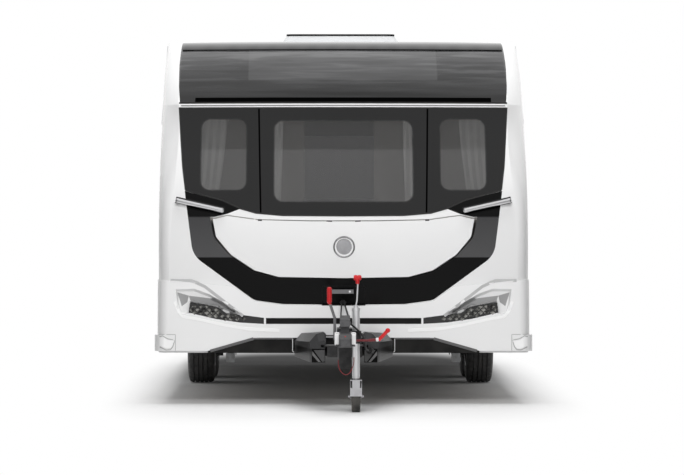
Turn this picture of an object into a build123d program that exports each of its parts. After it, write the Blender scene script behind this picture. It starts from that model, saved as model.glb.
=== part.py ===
"""Eight-foot-wide twin-axle touring caravan, parked on its jockey wheel.

The frame is in millimetres, with +Z up and the front facing -Y. X = 0 is the centre line, and the
entrance door is on the +X side. Z = 0 is the ground under the wheels. Y = 0 is halfway between the
nose of the coupling and the rear bumper.
"""
import math
import os

from build123d import *

os.makedirs("parts", exist_ok=True)

# Overall sizes
COUPLING_NOSE_Y = -3975
BUMPER_FACE_Y = -2625
REAR_END_Y = 3975
BODY_HALF = 1215
BUMPER_HALF = 1220
SKIRT_Z = 337
WALL_BOTTOM_Z = 430
ROOF_Z = 2440
WALL = 30
FLOOR_THICK = 45
FLOOR_TOP_Z = 460
FRONT_BACK_Y = -825
REAR_FACE_Y = 3945
REAR_JOIN_Y = 3800
SHUT_GAP = 6
SOFT_GAP = 0.5

ROOF_UNDER_Z = ROOF_Z - WALL
INNER_HALF = BODY_HALF - WALL
FLOOR_UNDER_Z = FLOOR_TOP_Z - FLOOR_THICK

# Running gear
AXLE_YS = {"front": 625, "rear": 1525}
TYRE_RADIUS = 315
TYRE_WIDTH = 200
WHEEL_X = 1025
HUB_BORE = 32
SPINDLE_RADIUS = 30
DRUM_RADIUS = 118
ARCH_MARGIN = 65
ARCH_TOP_Z = 720
WELL_INNER_X = 855
WELL_SHEET = 8

RAIL_X = 750
RAIL_WIDTH = 50
RAIL_TOP_Z = FLOOR_UNDER_Z
RAIL_SHEET = 6


def block(x0, x1, y0, y1, z0, z1):
    """A box given by its corners."""
    size = Box(x1 - x0, y1 - y0, z1 - z0)
    return Pos((x0 + x1) / 2, (y0 + y1) / 2, (z0 + z1) / 2) * size


def both_sides(shape):
    """The shape and its mirror image across the centre line."""
    return [shape, mirror(shape, about=Plane.YZ)]


def fuse(pieces):
    """One shape made of touching pieces."""
    whole = pieces[0]
    for piece in pieces[1:]:
        whole = whole + piece
    return whole


def outline_x(points, x0, x1):
    """A prism along X whose outline is given as (y, z) points."""
    face = make_face(Plane.YZ * Polyline(*points, close=True))
    return Pos(x0, 0, 0) * extrude(face, amount=x1 - x0, dir=(1, 0, 0))


def outline_y(points, y0, y1):
    """A prism along Y whose outline is given as (x, z) points."""
    face = make_face(Polyline(*[(x, y0, z) for x, z in points], close=True))
    return extrude(face, amount=y1 - y0, dir=(0, 1, 0))


def rod(start, end, radius):
    """A round bar between two points."""
    start = Vector(*start)
    end = Vector(*end)
    plane = Plane(origin=start, z_dir=end - start)
    return extrude(plane * Circle(radius), amount=(end - start).length)


def disc_x(y, z, x0, x1, radius):
    """A disc whose axis runs along X."""
    return rod((x0, y, z), (x1, y, z), radius)


def mirrored(points):
    """An outline's left half followed by its mirror image."""
    return list(points) + [(-x, z) for x, z in reversed(points) if x != 0]


def save(name, shapes):
    """Write one sub-part, as one or several solids."""
    solids = []
    for shape in shapes if isinstance(shapes, list) else [shapes]:
        solids.extend(shape.solids())
    whole = solids[0] if len(solids) == 1 else Compound(children=solids)
    whole.label = name
    export_step(whole, f"parts/{name}.step")
    volume = sum(solid.volume for solid in solids) / 1e9
    print(f"{name}: {len(solids)} solids, {volume:.4f} cubic metres")


# Front mouldings
# Each row is one level section of the nose: height, setback of the centre from the bumper face,
# how far the flat stretch bows back at its ends, half width of that stretch, and the setback
# where the side begins.
NOSE_LOWER = (
    (337, 40, 30, 1145, 140),
    (1000, 45, 40, 1140, 160),
    (1340, 90, 50, 1120, 235),
    (1670, 225, 70, 1095, 500),
    (1975, 360, 90, 1095, 850),
)
NOSE_UPPER = (
    (1975, 360, 90, 1095, 850),
    (2150, 620, 100, 1095, 1080),
    (2300, 900, 110, 1095, 1400),
    (2400, 1180, 120, 1095, 1680),
    (2440, 1450, 120, 1095, 1790),
)
BUMPER_ROWS = (
    (337, 0, 30, 1150, 100),
    (585, 0, 30, 1150, 100),
    (830, 30, 36, 1146, 140),
)


def nose_section(row, half, back_y, inset=0, drop=0):
    """One level section of the nose as a face, with its sides run back to back_y."""
    z, centre, bow, flat, side = row
    front = BUMPER_FACE_Y + inset
    flat = flat - inset
    corner = (flat, front + centre + bow)
    arc = ThreePointArc((-corner[0], corner[1]), (0, front + centre), corner)
    right = TangentArc((half, front + side), corner, tangent=(0, -1))
    left = TangentArc((-half, front + side), (-corner[0], corner[1]), tangent=(0, -1))
    run_right = Line((half, front + side), (half, back_y))
    run_left = Line((-half, front + side), (-half, back_y))
    back = Line((half, back_y), (-half, back_y))
    return Pos(0, 0, z - drop) * make_face([arc, right, run_right, back, run_left, left])


def nose_solid(rows, half, back_y, inset=0, drops=None):
    """The nose lofted through its level sections."""
    drops = drops or [0] * len(rows)
    faces = [nose_section(row, half, back_y, inset, drop) for row, drop in zip(rows, drops)]
    return loft(faces)


# The front moulding meets the side wall along this line, given as (y, z).
JOIN_LINE = (
    (-2325, SKIRT_Z),
    (-2325, 1150),
    (-1800, 1850),
    (FRONT_BACK_Y, 2400),
)

outer_nose = nose_solid(NOSE_LOWER, BODY_HALF, FRONT_BACK_Y) + nose_solid(NOSE_UPPER, BODY_HALF, FRONT_BACK_Y)
inner_back_y = FRONT_BACK_Y + 2 * WALL
inner_lower = nose_solid(NOSE_LOWER, INNER_HALF, inner_back_y, WALL, [WALL, 0, 0, 0, WALL])
inner_upper = nose_solid(NOSE_UPPER, INNER_HALF, inner_back_y, WALL, [WALL] * len(NOSE_UPPER))
nose_shell = outer_nose - inner_lower - inner_upper
ahead_of_join = outline_x(
    [(BUMPER_FACE_Y - 100, SKIRT_Z - 1), *[(y, z - (z == SKIRT_Z)) for y, z in JOIN_LINE],
     (FRONT_BACK_Y, ROOF_Z + 1), (BUMPER_FACE_Y - 100, ROOF_Z + 1)],
    -BODY_HALF - 10, BODY_HALF + 10)
nose_shell = nose_shell & ahead_of_join

# Outlines on the front, as (x, z) points of the left half unless said otherwise
PANE_TOP_Z = 1955
ROOF_GLASS_BOTTOM_Z = 1990
ROOF_GLASS_BACK_Y = -1125
WINDOW_BOTTOM = ((-1044, 1404), (-798, 1338), (-680, 1284), (-574, 1254), (-400, 1239))
DIVIDER_TOP_X = 560
DIVIDER_BOTTOM_X = 543
DIVIDER_GAP = 8
LID_TOP_MID_Z = 1198
SMILE_OUTER = ((-1044, 1397), (-988, 974), (-585, 680), (-400, 655))
SMILE_OUTER_RADII = (160, 90, 60)
SMILE_BOTTOM_Z = 650
SMILE_INNER = ((-878, 1226), (-850, 1090), (-745, 975), (-590, 872), (-430, 829))
SMILE_INNER_RADII = (60, 90, 60, 60)
SMILE_TOP_Z = 820
POD_INNER = ((-850, 1226), (-765, 1246), (-680, 1279))
STRIP_Z = (527, 566)
STRIP_HALF = 508
LAMP = ((-1012, 600), (-1005, 667), (-828, 637), (-769, 598), (-658, 585), (-521, 567),
        (-521, 527), (-678, 536), (-835, 559))
SCOOP_FACE = ((-1134, 806), (-984, 802), (-892, 752), (-652, 588), (-769, 590), (-828, 630),
              (-1000, 655), (-1006, 598), (-1082, 578))
SCOOP_FLOOR = ((-1092, 738), (-975, 738), (-872, 698), (-690, 598), (-769, 590), (-828, 630),
               (-1000, 655), (-1006, 600), (-1064, 596))
SCOOP_FACE_Y = -2630
SCOOP_FLOOR_Y = -2563
PAD_ROWS = ((349, -8, 30, 1165, 90), (455, -8, 30, 1165, 90))
PAD_INNER_X = 1103
PAD_HALF = 1239
PAD_BACK_Y = -2405
BUMPER_BOTTOM_Z = 437
LOWER_SKIRT_HALF = 563
LOWER_SKIRT_FOOT = 890
CORNER_SKIRT_Z = 350
CORNER_SKIRT_HALF = 1085

front_y0 = BUMPER_FACE_Y - 60
front_y1 = FRONT_BACK_Y + 20


# Overhead window, the dark panel that curves from the front up to the roof
roof_glass_outline = [(-1087, ROOF_GLASS_BOTTOM_Z), (-1100, 2100), (-1107, 2250), (-1104, ROOF_Z + 20)]
roof_glass_prism = outline_y(mirrored(roof_glass_outline), front_y0, ROOF_GLASS_BACK_Y)
overhead_panel = nose_shell & roof_glass_prism
front_moulding = nose_shell - roof_glass_prism

# The three front windows share one band of glass
band = [(-1043, WINDOW_BOTTOM[0][1]), (-1062, 1560), (-1078, 1760), (-1092, PANE_TOP_Z)]
band_outline = list(reversed(WINDOW_BOTTOM))[:-1] + band
window_prism = outline_y(mirrored(band_outline), front_y0, front_y1)
glass_band = nose_shell & window_prism
front_moulding = front_moulding - window_prism
front_windows = []
divider_half = DIVIDER_GAP / 2
centre_cut = outline_y(
    mirrored([(-DIVIDER_BOTTOM_X + divider_half, 1200), (-DIVIDER_TOP_X + divider_half, PANE_TOP_Z + 20)]),
    front_y0, front_y1)
front_windows.append(glass_band & centre_cut)
side_cut = outline_y(
    [(-DIVIDER_BOTTOM_X - divider_half, 1200), (-DIVIDER_TOP_X - divider_half, PANE_TOP_Z + 20),
     (-BODY_HALF, PANE_TOP_Z + 20), (-BODY_HALF, 1200)],
    front_y0, front_y1)
front_windows.extend(both_sides(glass_band & side_cut))

# Dark curved trim with its two pods, around the gas locker lid
outer_left = FilletPolyline(
    *[(x, 0, z) for x, z in SMILE_OUTER], (0, 0, SMILE_BOTTOM_Z), radius=list(SMILE_OUTER_RADII))
inner_left = FilletPolyline(
    *[(x, 0, z) for x, z in SMILE_INNER], (0, 0, SMILE_TOP_Z), radius=list(SMILE_INNER_RADII))
pod_bottom = Polyline((SMILE_INNER[0][0], 0, SMILE_INNER[0][1]), *[(x, 0, z) for x, z in POD_INNER])
pod_top = Polyline(
    (POD_INNER[-1][0], 0, POD_INNER[-1][1]), (-798, 0, 1332), (SMILE_OUTER[0][0], 0, SMILE_OUTER[0][1]))
seam = Line((0, 0, SMILE_BOTTOM_Z), (0, 0, SMILE_TOP_Z))
trim_face = make_face([outer_left, seam, inner_left, pod_bottom, pod_top])
trim_left = Pos(0, front_y0, 0) * extrude(trim_face, amount=front_y1 - front_y0, dir=(0, 1, 0))
trim_prism = fuse(both_sides(trim_left))
front_trim = nose_shell & trim_prism
front_moulding = front_moulding - trim_prism

# Gas locker lid, which fills the trim's inside edge with a shut gap all round
LID_SWING = 14
LID_TOP = ((-858, 1214), (-842, 1214), (-763, 1234), (-561, 1206), (-220, LID_TOP_MID_Z))
lid_side = FilletPolyline(
    (LID_TOP[0][0], 0, LID_TOP[0][1]),
    (SMILE_INNER[1][0] + LID_SWING, 0, SMILE_INNER[1][1] + SHUT_GAP),
    *[(x + SHUT_GAP, 0, z + SHUT_GAP * 0.8) for x, z in SMILE_INNER[2:]],
    (0, 0, SMILE_TOP_Z + SHUT_GAP), radius=list(SMILE_INNER_RADII))
lid_head = Polyline(*[(x, 0, z) for x, z in LID_TOP], (0, 0, LID_TOP_MID_Z))
lid_seam = Line((0, 0, LID_TOP_MID_Z), (0, 0, SMILE_TOP_Z + SHUT_GAP))
lid_face = make_face([lid_side, lid_head, lid_seam])
lid_left = Pos(0, front_y0, 0) * extrude(lid_face, amount=front_y1 - front_y0, dir=(0, 1, 0))
lid_prism = fuse(both_sides(lid_left))
gas_locker_lid = nose_shell & lid_prism

hole_head = Polyline(
    (SMILE_INNER[0][0], 0, SMILE_INNER[0][1]), (-850, 0, 1222),
    *[(x, 0, z + SHUT_GAP) for x, z in LID_TOP[2:]], (0, 0, LID_TOP_MID_Z + SHUT_GAP))
hole_seam = Line((0, 0, LID_TOP_MID_Z + SHUT_GAP), (0, 0, SMILE_TOP_Z))
hole_face = make_face([inner_left, hole_head, hole_seam])
hole_left = Pos(0, front_y0, 0) * extrude(hole_face, amount=front_y1 - front_y0, dir=(0, 1, 0))
front_moulding = front_moulding - fuse(both_sides(hole_left))

# Bumper, a raised moulding over the foot of the nose
bumper_solid = nose_solid(BUMPER_ROWS, BUMPER_HALF, BUMPER_FACE_Y + 300)
bumper_solid = bumper_solid - outer_nose
bumper_outline = [
    (-BUMPER_HALF - 5, CORNER_SKIRT_Z), (-CORNER_SKIRT_HALF, CORNER_SKIRT_Z),
    (-LOWER_SKIRT_FOOT, CORNER_SKIRT_Z), (-LOWER_SKIRT_HALF, BUMPER_BOTTOM_Z), (0, BUMPER_BOTTOM_Z)]
bumper_top = [(0, SMILE_BOTTOM_Z - 4), (-400, 651), (-585, 676), (-720, 772), (-1085, 806),
              (-BUMPER_HALF - 5, 815)]
bumper_left = outline_y(bumper_outline + bumper_top, front_y0, BUMPER_FACE_Y + 300)
bumper_face_piece = bumper_solid & fuse(both_sides(bumper_left))
lamp_prism = fuse(both_sides(outline_y(LAMP, front_y0, BUMPER_FACE_Y + 300)))
strip_prism = block(-STRIP_HALF, STRIP_HALF, front_y0, BUMPER_FACE_Y + 300, *STRIP_Z)
front_lamps = bumper_face_piece & lamp_prism
bumper_strip = bumper_face_piece & strip_prism
scoop = loft([
    make_face(Polyline(*[(x, SCOOP_FACE_Y, z) for x, z in SCOOP_FACE], close=True)),
    make_face(Polyline(*[(x, SCOOP_FLOOR_Y, z) for x, z in SCOOP_FLOOR], close=True))], ruled=True)
pad_block = nose_solid(PAD_ROWS, PAD_HALF, PAD_BACK_Y)
pad_reach = block(PAD_INNER_X, PAD_HALF + 1, front_y0, PAD_BACK_Y, PAD_ROWS[0][0], PAD_ROWS[1][0])
pads = (pad_block & fuse(both_sides(pad_reach))) - outer_nose
front_bumper = bumper_face_piece - lamp_prism - strip_prism - fuse(both_sides(scoop))
front_bumper = front_bumper + pads
skirt_outline = [(-LOWER_SKIRT_FOOT + 2, SKIRT_Z), (-LOWER_SKIRT_FOOT + 2, CORNER_SKIRT_Z),
                 (-LOWER_SKIRT_HALF, BUMPER_BOTTOM_Z)]
lower_skirt = bumper_solid & outline_y(mirrored(skirt_outline), front_y0, BUMPER_FACE_Y + 300)

# Side walls
ARCH_Y = (AXLE_YS["front"] - TYRE_RADIUS - ARCH_MARGIN, AXLE_YS["rear"] + TYRE_RADIUS + ARCH_MARGIN)
DOOR_Y = (-520, 80)
DOOR_Z = (482, 2250)
DOOR_THICK = 28
SIDE_WINDOWS_RIGHT = ((-1500, -700, 1350, 1900), (420, 1220, 1420, 1900), (2120, 3020, 1350, 1900))
SIDE_WINDOWS_LEFT = ((-1500, -700, 1350, 1900), (-250, 450, 1420, 1900), (2120, 3020, 1350, 1900))
PANE_LAP = 18
PANE_THICK = 7
PANE_PLUG_CLEAR = 2
PANE_PLUG_DEPTH = 18
WINDOW_RADIUS = 60
LOCKER_DOOR = (-1950, -1300, 520, 860)
CASSETTE_DOOR = (2950, 3330, 560, 940)


def rounded_x(y0, y1, z0, z1, x0, x1, radius):
    """A plate lying in the YZ plane with rounded corners."""
    plane = Plane(origin=(x0, (y0 + y1) / 2, (z0 + z1) / 2), x_dir=(0, 1, 0), z_dir=(1, 0, 0))
    return extrude(plane * RectangleRounded(y1 - y0, z1 - z0, radius), amount=x1 - x0)


def side_wall(sign, windows, hatch, door=None):
    """A side wall on the +X side if sign is 1, with its openings cut."""
    points = [(JOIN_LINE[0][0], WALL_BOTTOM_Z), *JOIN_LINE[1:], (FRONT_BACK_Y, ROOF_UNDER_Z),
              (REAR_JOIN_Y, ROOF_UNDER_Z), (REAR_JOIN_Y, WALL_BOTTOM_Z)]
    wall = outline_x(points, INNER_HALF, BODY_HALF)
    reach = (INNER_HALF - 5, BODY_HALF + 5)
    for window in windows:
        wall = wall - rounded_x(*window, *reach, WINDOW_RADIUS)
    wall = wall - rounded_x(hatch[0], hatch[1], hatch[2], hatch[3], *reach, 20)
    arch = rounded_x(ARCH_Y[0], ARCH_Y[1], WALL_BOTTOM_Z - 300, ARCH_TOP_Z, *reach, 120)
    wall = wall - arch
    if door:
        wall = wall - rounded_x(*door, *reach, 40)
    return wall if sign > 0 else mirror(wall, about=Plane.YZ)


side_wall_right = side_wall(1, SIDE_WINDOWS_RIGHT, LOCKER_DOOR, (*DOOR_Y, *DOOR_Z))
side_wall_left = side_wall(-1, SIDE_WINDOWS_LEFT, CASSETTE_DOOR)


def side_pane(window):
    """A hung window: an outer pane that laps the wall, and a plug that fills the hole."""
    y0, y1, z0, z1 = window
    clear = PANE_PLUG_CLEAR
    plug = rounded_x(y0 + clear, y1 - clear, z0 + clear, z1 - clear,
                     BODY_HALF - PANE_PLUG_DEPTH, BODY_HALF, WINDOW_RADIUS - clear)
    lap = rounded_x(y0 - PANE_LAP, y1 + PANE_LAP, z0 - PANE_LAP, z1 + PANE_LAP,
                    BODY_HALF, BODY_HALF + PANE_THICK, WINDOW_RADIUS + PANE_LAP)
    return plug + lap


side_windows = [side_pane(window) for window in SIDE_WINDOWS_RIGHT]
side_windows += [mirror(side_pane(window), about=Plane.YZ) for window in SIDE_WINDOWS_LEFT]

# Hinged panels in the side walls
HINGE_X = BODY_HALF + 5
HINGE_RADIUS = 4.5
HINGE_LEAF = 3


def hatch_panel(hatch, radius):
    """A flush hatch in the +X wall with a hinge leaf along its top edge and two turn catches."""
    y0, y1, z0, z1 = hatch
    panel = rounded_x(y0 + SHUT_GAP, y1 - SHUT_GAP, z0 + SHUT_GAP, z1 - SHUT_GAP,
                      BODY_HALF - DOOR_THICK, BODY_HALF, radius)
    middle = (y0 + y1) / 2
    width = y1 - y0
    leaf = block(BODY_HALF, BODY_HALF + HINGE_LEAF, middle - width * 0.4, middle + width * 0.4,
                 z1 - 40, z1)
    pin = Pos(HINGE_X, middle, z1) * Rot(90, 0, 0) * Cylinder(HINGE_RADIUS, width * 0.8)
    catches = [disc_x(middle + side * width * 0.32, z0 + 50, BODY_HALF, BODY_HALF + 6, 22)
               for side in (-1, 1)]
    return fuse([panel, leaf, pin, *catches])


service_door = hatch_panel(LOCKER_DOOR, 16)
cassette_door = mirror(hatch_panel(CASSETTE_DOOR, 16), about=Plane.YZ)

DOOR_WINDOW = (-400, -40, 1450, 2050)
door_panel = rounded_x(DOOR_Y[0] + SHUT_GAP, DOOR_Y[1] - SHUT_GAP, DOOR_Z[0] + SHUT_GAP, DOOR_Z[1] - SHUT_GAP,
                       BODY_HALF - DOOR_THICK, BODY_HALF, 36)
door_panel = door_panel - rounded_x(*DOOR_WINDOW, INNER_HALF - 5, BODY_HALF + 5, 40)
door_hinges = []
for hinge_z in (700, 1350, 2020):
    door_hinges.append(Pos(HINGE_X, DOOR_Y[0], hinge_z) * Cylinder(HINGE_RADIUS, 70))
    door_hinges.append(block(BODY_HALF, BODY_HALF + HINGE_LEAF, DOOR_Y[0] + HINGE_RADIUS,
                             DOOR_Y[0] + 45, hinge_z - 35, hinge_z + 35))
    door_hinges.append(block(HINGE_X - HINGE_RADIUS, HINGE_X - 1, DOOR_Y[0], DOOR_Y[0] + 10,
                             hinge_z - 35, hinge_z + 35))
DOOR_HANDLE_Z = 1150
handle_plate = rounded_x(DOOR_Y[1] - 110, DOOR_Y[1] - 45, DOOR_HANDLE_Z - 90, DOOR_HANDLE_Z + 90,
                         BODY_HALF, BODY_HALF + 8, 12)
entrance_door = fuse([door_panel, *door_hinges, handle_plate])
door_window = rounded_x(*DOOR_WINDOW, BODY_HALF - 20, BODY_HALF - 2, 40)

# Floor with its two wheel openings, and the boxes over the wheels
FLOOR_ROW = (FLOOR_UNDER_Z, 66, 38, 1144, 198)
floor_outline = nose_section(FLOOR_ROW, INNER_HALF, REAR_JOIN_Y, WALL + 1)
floor_panel = extrude(floor_outline, amount=FLOOR_THICK, dir=(0, 0, 1))
for side in (1, -1):
    x0, x1 = sorted((side * WELL_INNER_X, side * (INNER_HALF + 5)))
    floor_panel = floor_panel - block(x0, x1, *ARCH_Y, FLOOR_UNDER_Z - 5, FLOOR_TOP_Z + 5)
well = block(WELL_INNER_X - WELL_SHEET, INNER_HALF, ARCH_Y[0] - WELL_SHEET, ARCH_Y[1] + WELL_SHEET,
             FLOOR_TOP_Z, ARCH_TOP_Z + WELL_SHEET)
well = well - block(WELL_INNER_X, INNER_HALF + 5, *ARCH_Y, FLOOR_TOP_Z - 5, ARCH_TOP_Z)
wheel_boxes = both_sides(well)

# Roof and what stands on it
ROOF_LIGHT = (-475, 475, 300, 1040)
ROOF_LIGHT_HOLE = (-400, 400, 370, 970)
SMALL_LIGHT = (-250, 250, 2450, 2950)
roof_panel = block(-BODY_HALF, BODY_HALF, FRONT_BACK_Y, REAR_JOIN_Y, ROOF_UNDER_Z, ROOF_Z)
for x0, x1, y0, y1 in (ROOF_LIGHT_HOLE, (-190, 190, 2510, 2890)):
    roof_panel = roof_panel - block(x0, x1, y0, y1, ROOF_UNDER_Z - 5, ROOF_Z + 5)


def roof_dome(x0, x1, y0, y1, height, lean):
    """A rooflight lid: a pane that leans in on all sides, hollow beneath."""
    width, depth = x1 - x0, y1 - y0
    centre = Pos((x0 + x1) / 2, (y0 + y1) / 2, ROOF_Z)
    shell = []
    for inset in (0, 12):
        foot = RectangleRounded(width - 2 * inset, depth - 2 * inset, 50 - inset)
        head = RectangleRounded(width - 2 * lean - 2 * inset, depth - 2 * lean * 0.85 - 2 * inset, 50 - inset)
        base_z = 0 if inset == 0 else -1
        shell.append(loft([Pos(0, 0, base_z) * foot, Pos(0, 0, height - inset) * head]))
    return centre * (shell[0] - shell[1])


ROOF_LIGHT_HEIGHT = 129
ROOF_LIGHT_LEAN = 90
rooflights = [
    roof_dome(*ROOF_LIGHT, ROOF_LIGHT_HEIGHT, ROOF_LIGHT_LEAN),
    roof_dome(*SMALL_LIGHT, 90, 60),
]
vent_places = ((-700, 1700), (650, 3300), (-700, 3350))
roof_vents = [Pos(x, y, ROOF_Z) * (Pos(0, 0, 20) * Cylinder(45, 40) + Pos(0, 0, 50) * Cylinder(75, 20))
              for x, y in vent_places]

# Rear shell, with rounded corners in plan and along the top
REAR_RADIUS = 130
rear_outer = block(-BODY_HALF, BODY_HALF, REAR_JOIN_Y - 400, REAR_FACE_Y, SKIRT_Z, ROOF_Z)
rear_edges = rear_outer.edges().filter_by(Axis.Z).group_by(Axis.Y)[-1]
rear_outer = fillet(rear_edges, REAR_RADIUS)
top_edges = rear_outer.faces().sort_by(Axis.Z)[-1].edges().filter_by(lambda e: e.center().Y > REAR_JOIN_Y)
rear_outer = fillet(top_edges, 50)
rear_inner = block(-INNER_HALF, INNER_HALF, REAR_JOIN_Y - 500, REAR_FACE_Y - WALL, SKIRT_Z - 5, ROOF_UNDER_Z)
inner_edges = rear_inner.edges().filter_by(Axis.Z).group_by(Axis.Y)[-1]
rear_inner = fillet(inner_edges, REAR_RADIUS - WALL)
rear_panel = rear_outer - rear_inner
rear_reach = block(-BODY_HALF - 1, BODY_HALF + 1, REAR_JOIN_Y, REAR_FACE_Y + 1, SKIRT_Z, ROOF_Z + 1)
rear_panel = rear_panel & rear_reach
REAR_WINDOW = (-620, 620, 1380, 1900)


def rounded_y(x0, x1, z0, z1, y0, y1, radius):
    """A plate lying in the XZ plane with rounded corners."""
    plane = Plane(origin=((x0 + x1) / 2, y0, (z0 + z1) / 2), x_dir=(1, 0, 0), z_dir=(0, -1, 0))
    return extrude(plane * RectangleRounded(x1 - x0, z1 - z0, radius), amount=-(y1 - y0))


rear_panel = rear_panel - rounded_y(*REAR_WINDOW, REAR_FACE_Y - WALL - 5, REAR_FACE_Y + 5, WINDOW_RADIUS)
rear_window = rounded_y(
    REAR_WINDOW[0] + PANE_PLUG_CLEAR, REAR_WINDOW[1] - PANE_PLUG_CLEAR, REAR_WINDOW[2] + PANE_PLUG_CLEAR,
    REAR_WINDOW[3] - PANE_PLUG_CLEAR, REAR_FACE_Y - PANE_PLUG_DEPTH, REAR_FACE_Y, WINDOW_RADIUS - PANE_PLUG_CLEAR)
rear_window = rear_window + rounded_y(
    REAR_WINDOW[0] - PANE_LAP, REAR_WINDOW[1] + PANE_LAP, REAR_WINDOW[2] - PANE_LAP,
    REAR_WINDOW[3] + PANE_LAP, REAR_FACE_Y, REAR_FACE_Y + PANE_THICK, WINDOW_RADIUS + PANE_LAP)
REAR_BUMPER = (-1080, 1080, 345, 640)
REAR_BUMPER_RADIUS = 40
REAR_LAMP = (860, 1060, 700, 980)
REAR_LAMP_OUT = 22
REAR_LAMP_RADIUS = 30
HIGH_LAMP = (-200, 200, 2290, 2320)
HIGH_LAMP_OUT = 12
rear_bumper = rounded_y(*REAR_BUMPER, REAR_FACE_Y, REAR_END_Y, REAR_BUMPER_RADIUS)
rear_lamps = both_sides(rounded_y(*REAR_LAMP, REAR_FACE_Y, REAR_FACE_Y + REAR_LAMP_OUT, REAR_LAMP_RADIUS))
rear_lamps.append(rounded_y(*HIGH_LAMP, REAR_FACE_Y, REAR_FACE_Y + HIGH_LAMP_OUT, HIGH_LAMP_OUT))

# Side skirts, below the walls between the wheels and the ends
SKIRT_SHEET = 12
skirt_x = (BODY_HALF - SKIRT_SHEET, BODY_HALF)
skirt_pieces = []
for y0, y1 in ((JOIN_LINE[0][0], ARCH_Y[0]), (ARCH_Y[1], REAR_JOIN_Y)):
    skirt_pieces.append(block(*skirt_x, y0, y1, SKIRT_Z, WALL_BOTTOM_Z))
side_skirts = skirt_pieces + [mirror(piece, about=Plane.YZ) for piece in skirt_pieces]

# Awning rails along the roof's side edges and down the front joint
RAIL_OUT = 8
rail_points = [(-1800, 1850), (FRONT_BACK_Y, 2400), (REAR_JOIN_Y + 40, 2400)]
awning = outline_x([(y, z) for y, z in rail_points] + [(REAR_JOIN_Y + 40, 2425), (FRONT_BACK_Y - 12, 2425),
                                                       (-1815, 1872)], BODY_HALF, BODY_HALF + RAIL_OUT)
awning_rails = both_sides(awning)

# Chassis rails: channels under the floor, deeper between the ends
RAIL_LINE = ((-2300, 345), (-750, 345), (-600, 265), (3000, 265), (3150, 345), (3700, 345))
RAIL_END_Y = (RAIL_LINE[0][0], RAIL_LINE[-1][0])


def rail(sign):
    """One channel with its open side inwards."""
    points = [*RAIL_LINE, (RAIL_END_Y[1], RAIL_TOP_Z), (RAIL_END_Y[0], RAIL_TOP_Z)]
    whole = outline_x(points, RAIL_X - RAIL_WIDTH / 2, RAIL_X + RAIL_WIDTH / 2)
    sheet = RAIL_SHEET
    inside = [(y, z + sheet) for y, z in RAIL_LINE]
    inside = [(inside[0][0] - 5, inside[0][1]), *inside[1:-1], (inside[-1][0] + 5, inside[-1][1])]
    inside += [(RAIL_END_Y[1] + 5, RAIL_TOP_Z - sheet), (RAIL_END_Y[0] - 5, RAIL_TOP_Z - sheet)]
    hollow = outline_x(inside, RAIL_X - RAIL_WIDTH / 2 - 5, RAIL_X + RAIL_WIDTH / 2 - sheet)
    channel = whole - hollow
    return channel if sign > 0 else mirror(channel, about=Plane.YZ)


CROSS_YS = (-1500, -300, 2600, 3500)
cross_half = RAIL_X + RAIL_WIDTH / 2 - RAIL_SHEET
crosses = [block(-cross_half, cross_half, y - 25, y + 25, RAIL_TOP_Z - 50, RAIL_TOP_Z - RAIL_SHEET)
           for y in CROSS_YS]
chassis_rails = fuse([rail(1), rail(-1), *crosses])

# Drawbar: two bars that run from the rails to the coupling
BAR_Z = (345, 412)
BAR_WIDTH = 50
NOTCH = 8
BAR_REAR = (588, -1525)
BAR_FRONT = (62, -3424)
HOUSING_Y = (-3424, -3120)
HOUSING_Z = (412, 520)
HOUSING_HALF = 48
HOUSING_FLOOR_HALF = 130
HOUSING_FLOOR_Y = (-3410, -3140)
HEAD_PLATE_HALF = 110
HEAD_PLATE_THICK = 12
UNDER_BLOCK_X = (-43, 42)
UNDER_BLOCK_Z = (268, 393)
COVER_FRONT_Y = -3400
SHAFT_Z = 470
SHAFT_RADIUS = 27
SHAFT_FRONT_Y = -3720
bar_angle = math.atan2(BAR_REAR[0] - BAR_FRONT[0], BAR_REAR[1] - BAR_FRONT[1])
bar_across = BAR_WIDTH / 2 / math.cos(bar_angle)
bar_face = make_face(Polyline(
    (BAR_FRONT[0] - bar_across, BAR_FRONT[1]), (BAR_FRONT[0] + bar_across, BAR_FRONT[1]),
    (BAR_REAR[0] + bar_across, BAR_REAR[1]), (BAR_REAR[0] - bar_across, BAR_REAR[1]), close=True))
bar = Pos(0, 0, BAR_Z[0]) * extrude(bar_face, amount=BAR_Z[1] - BAR_Z[0])
head_plate = block(-HEAD_PLATE_HALF, HEAD_PLATE_HALF, HOUSING_Y[0], HOUSING_Y[0] + HEAD_PLATE_THICK,
                   BAR_Z[0] - 5, BAR_Z[1])
housing = block(-HOUSING_HALF, HOUSING_HALF, *HOUSING_Y, *HOUSING_Z)
floor_of_housing = block(-HOUSING_FLOOR_HALF, HOUSING_FLOOR_HALF, *HOUSING_FLOOR_Y, BAR_Z[1] - 6, BAR_Z[1])
under_block = block(*UNDER_BLOCK_X, HOUSING_Y[0] + HEAD_PLATE_THICK, COVER_FRONT_Y + 10, *UNDER_BLOCK_Z)
a_frame = fuse([*both_sides(bar), head_plate, housing, floor_of_housing, under_block])

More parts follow.
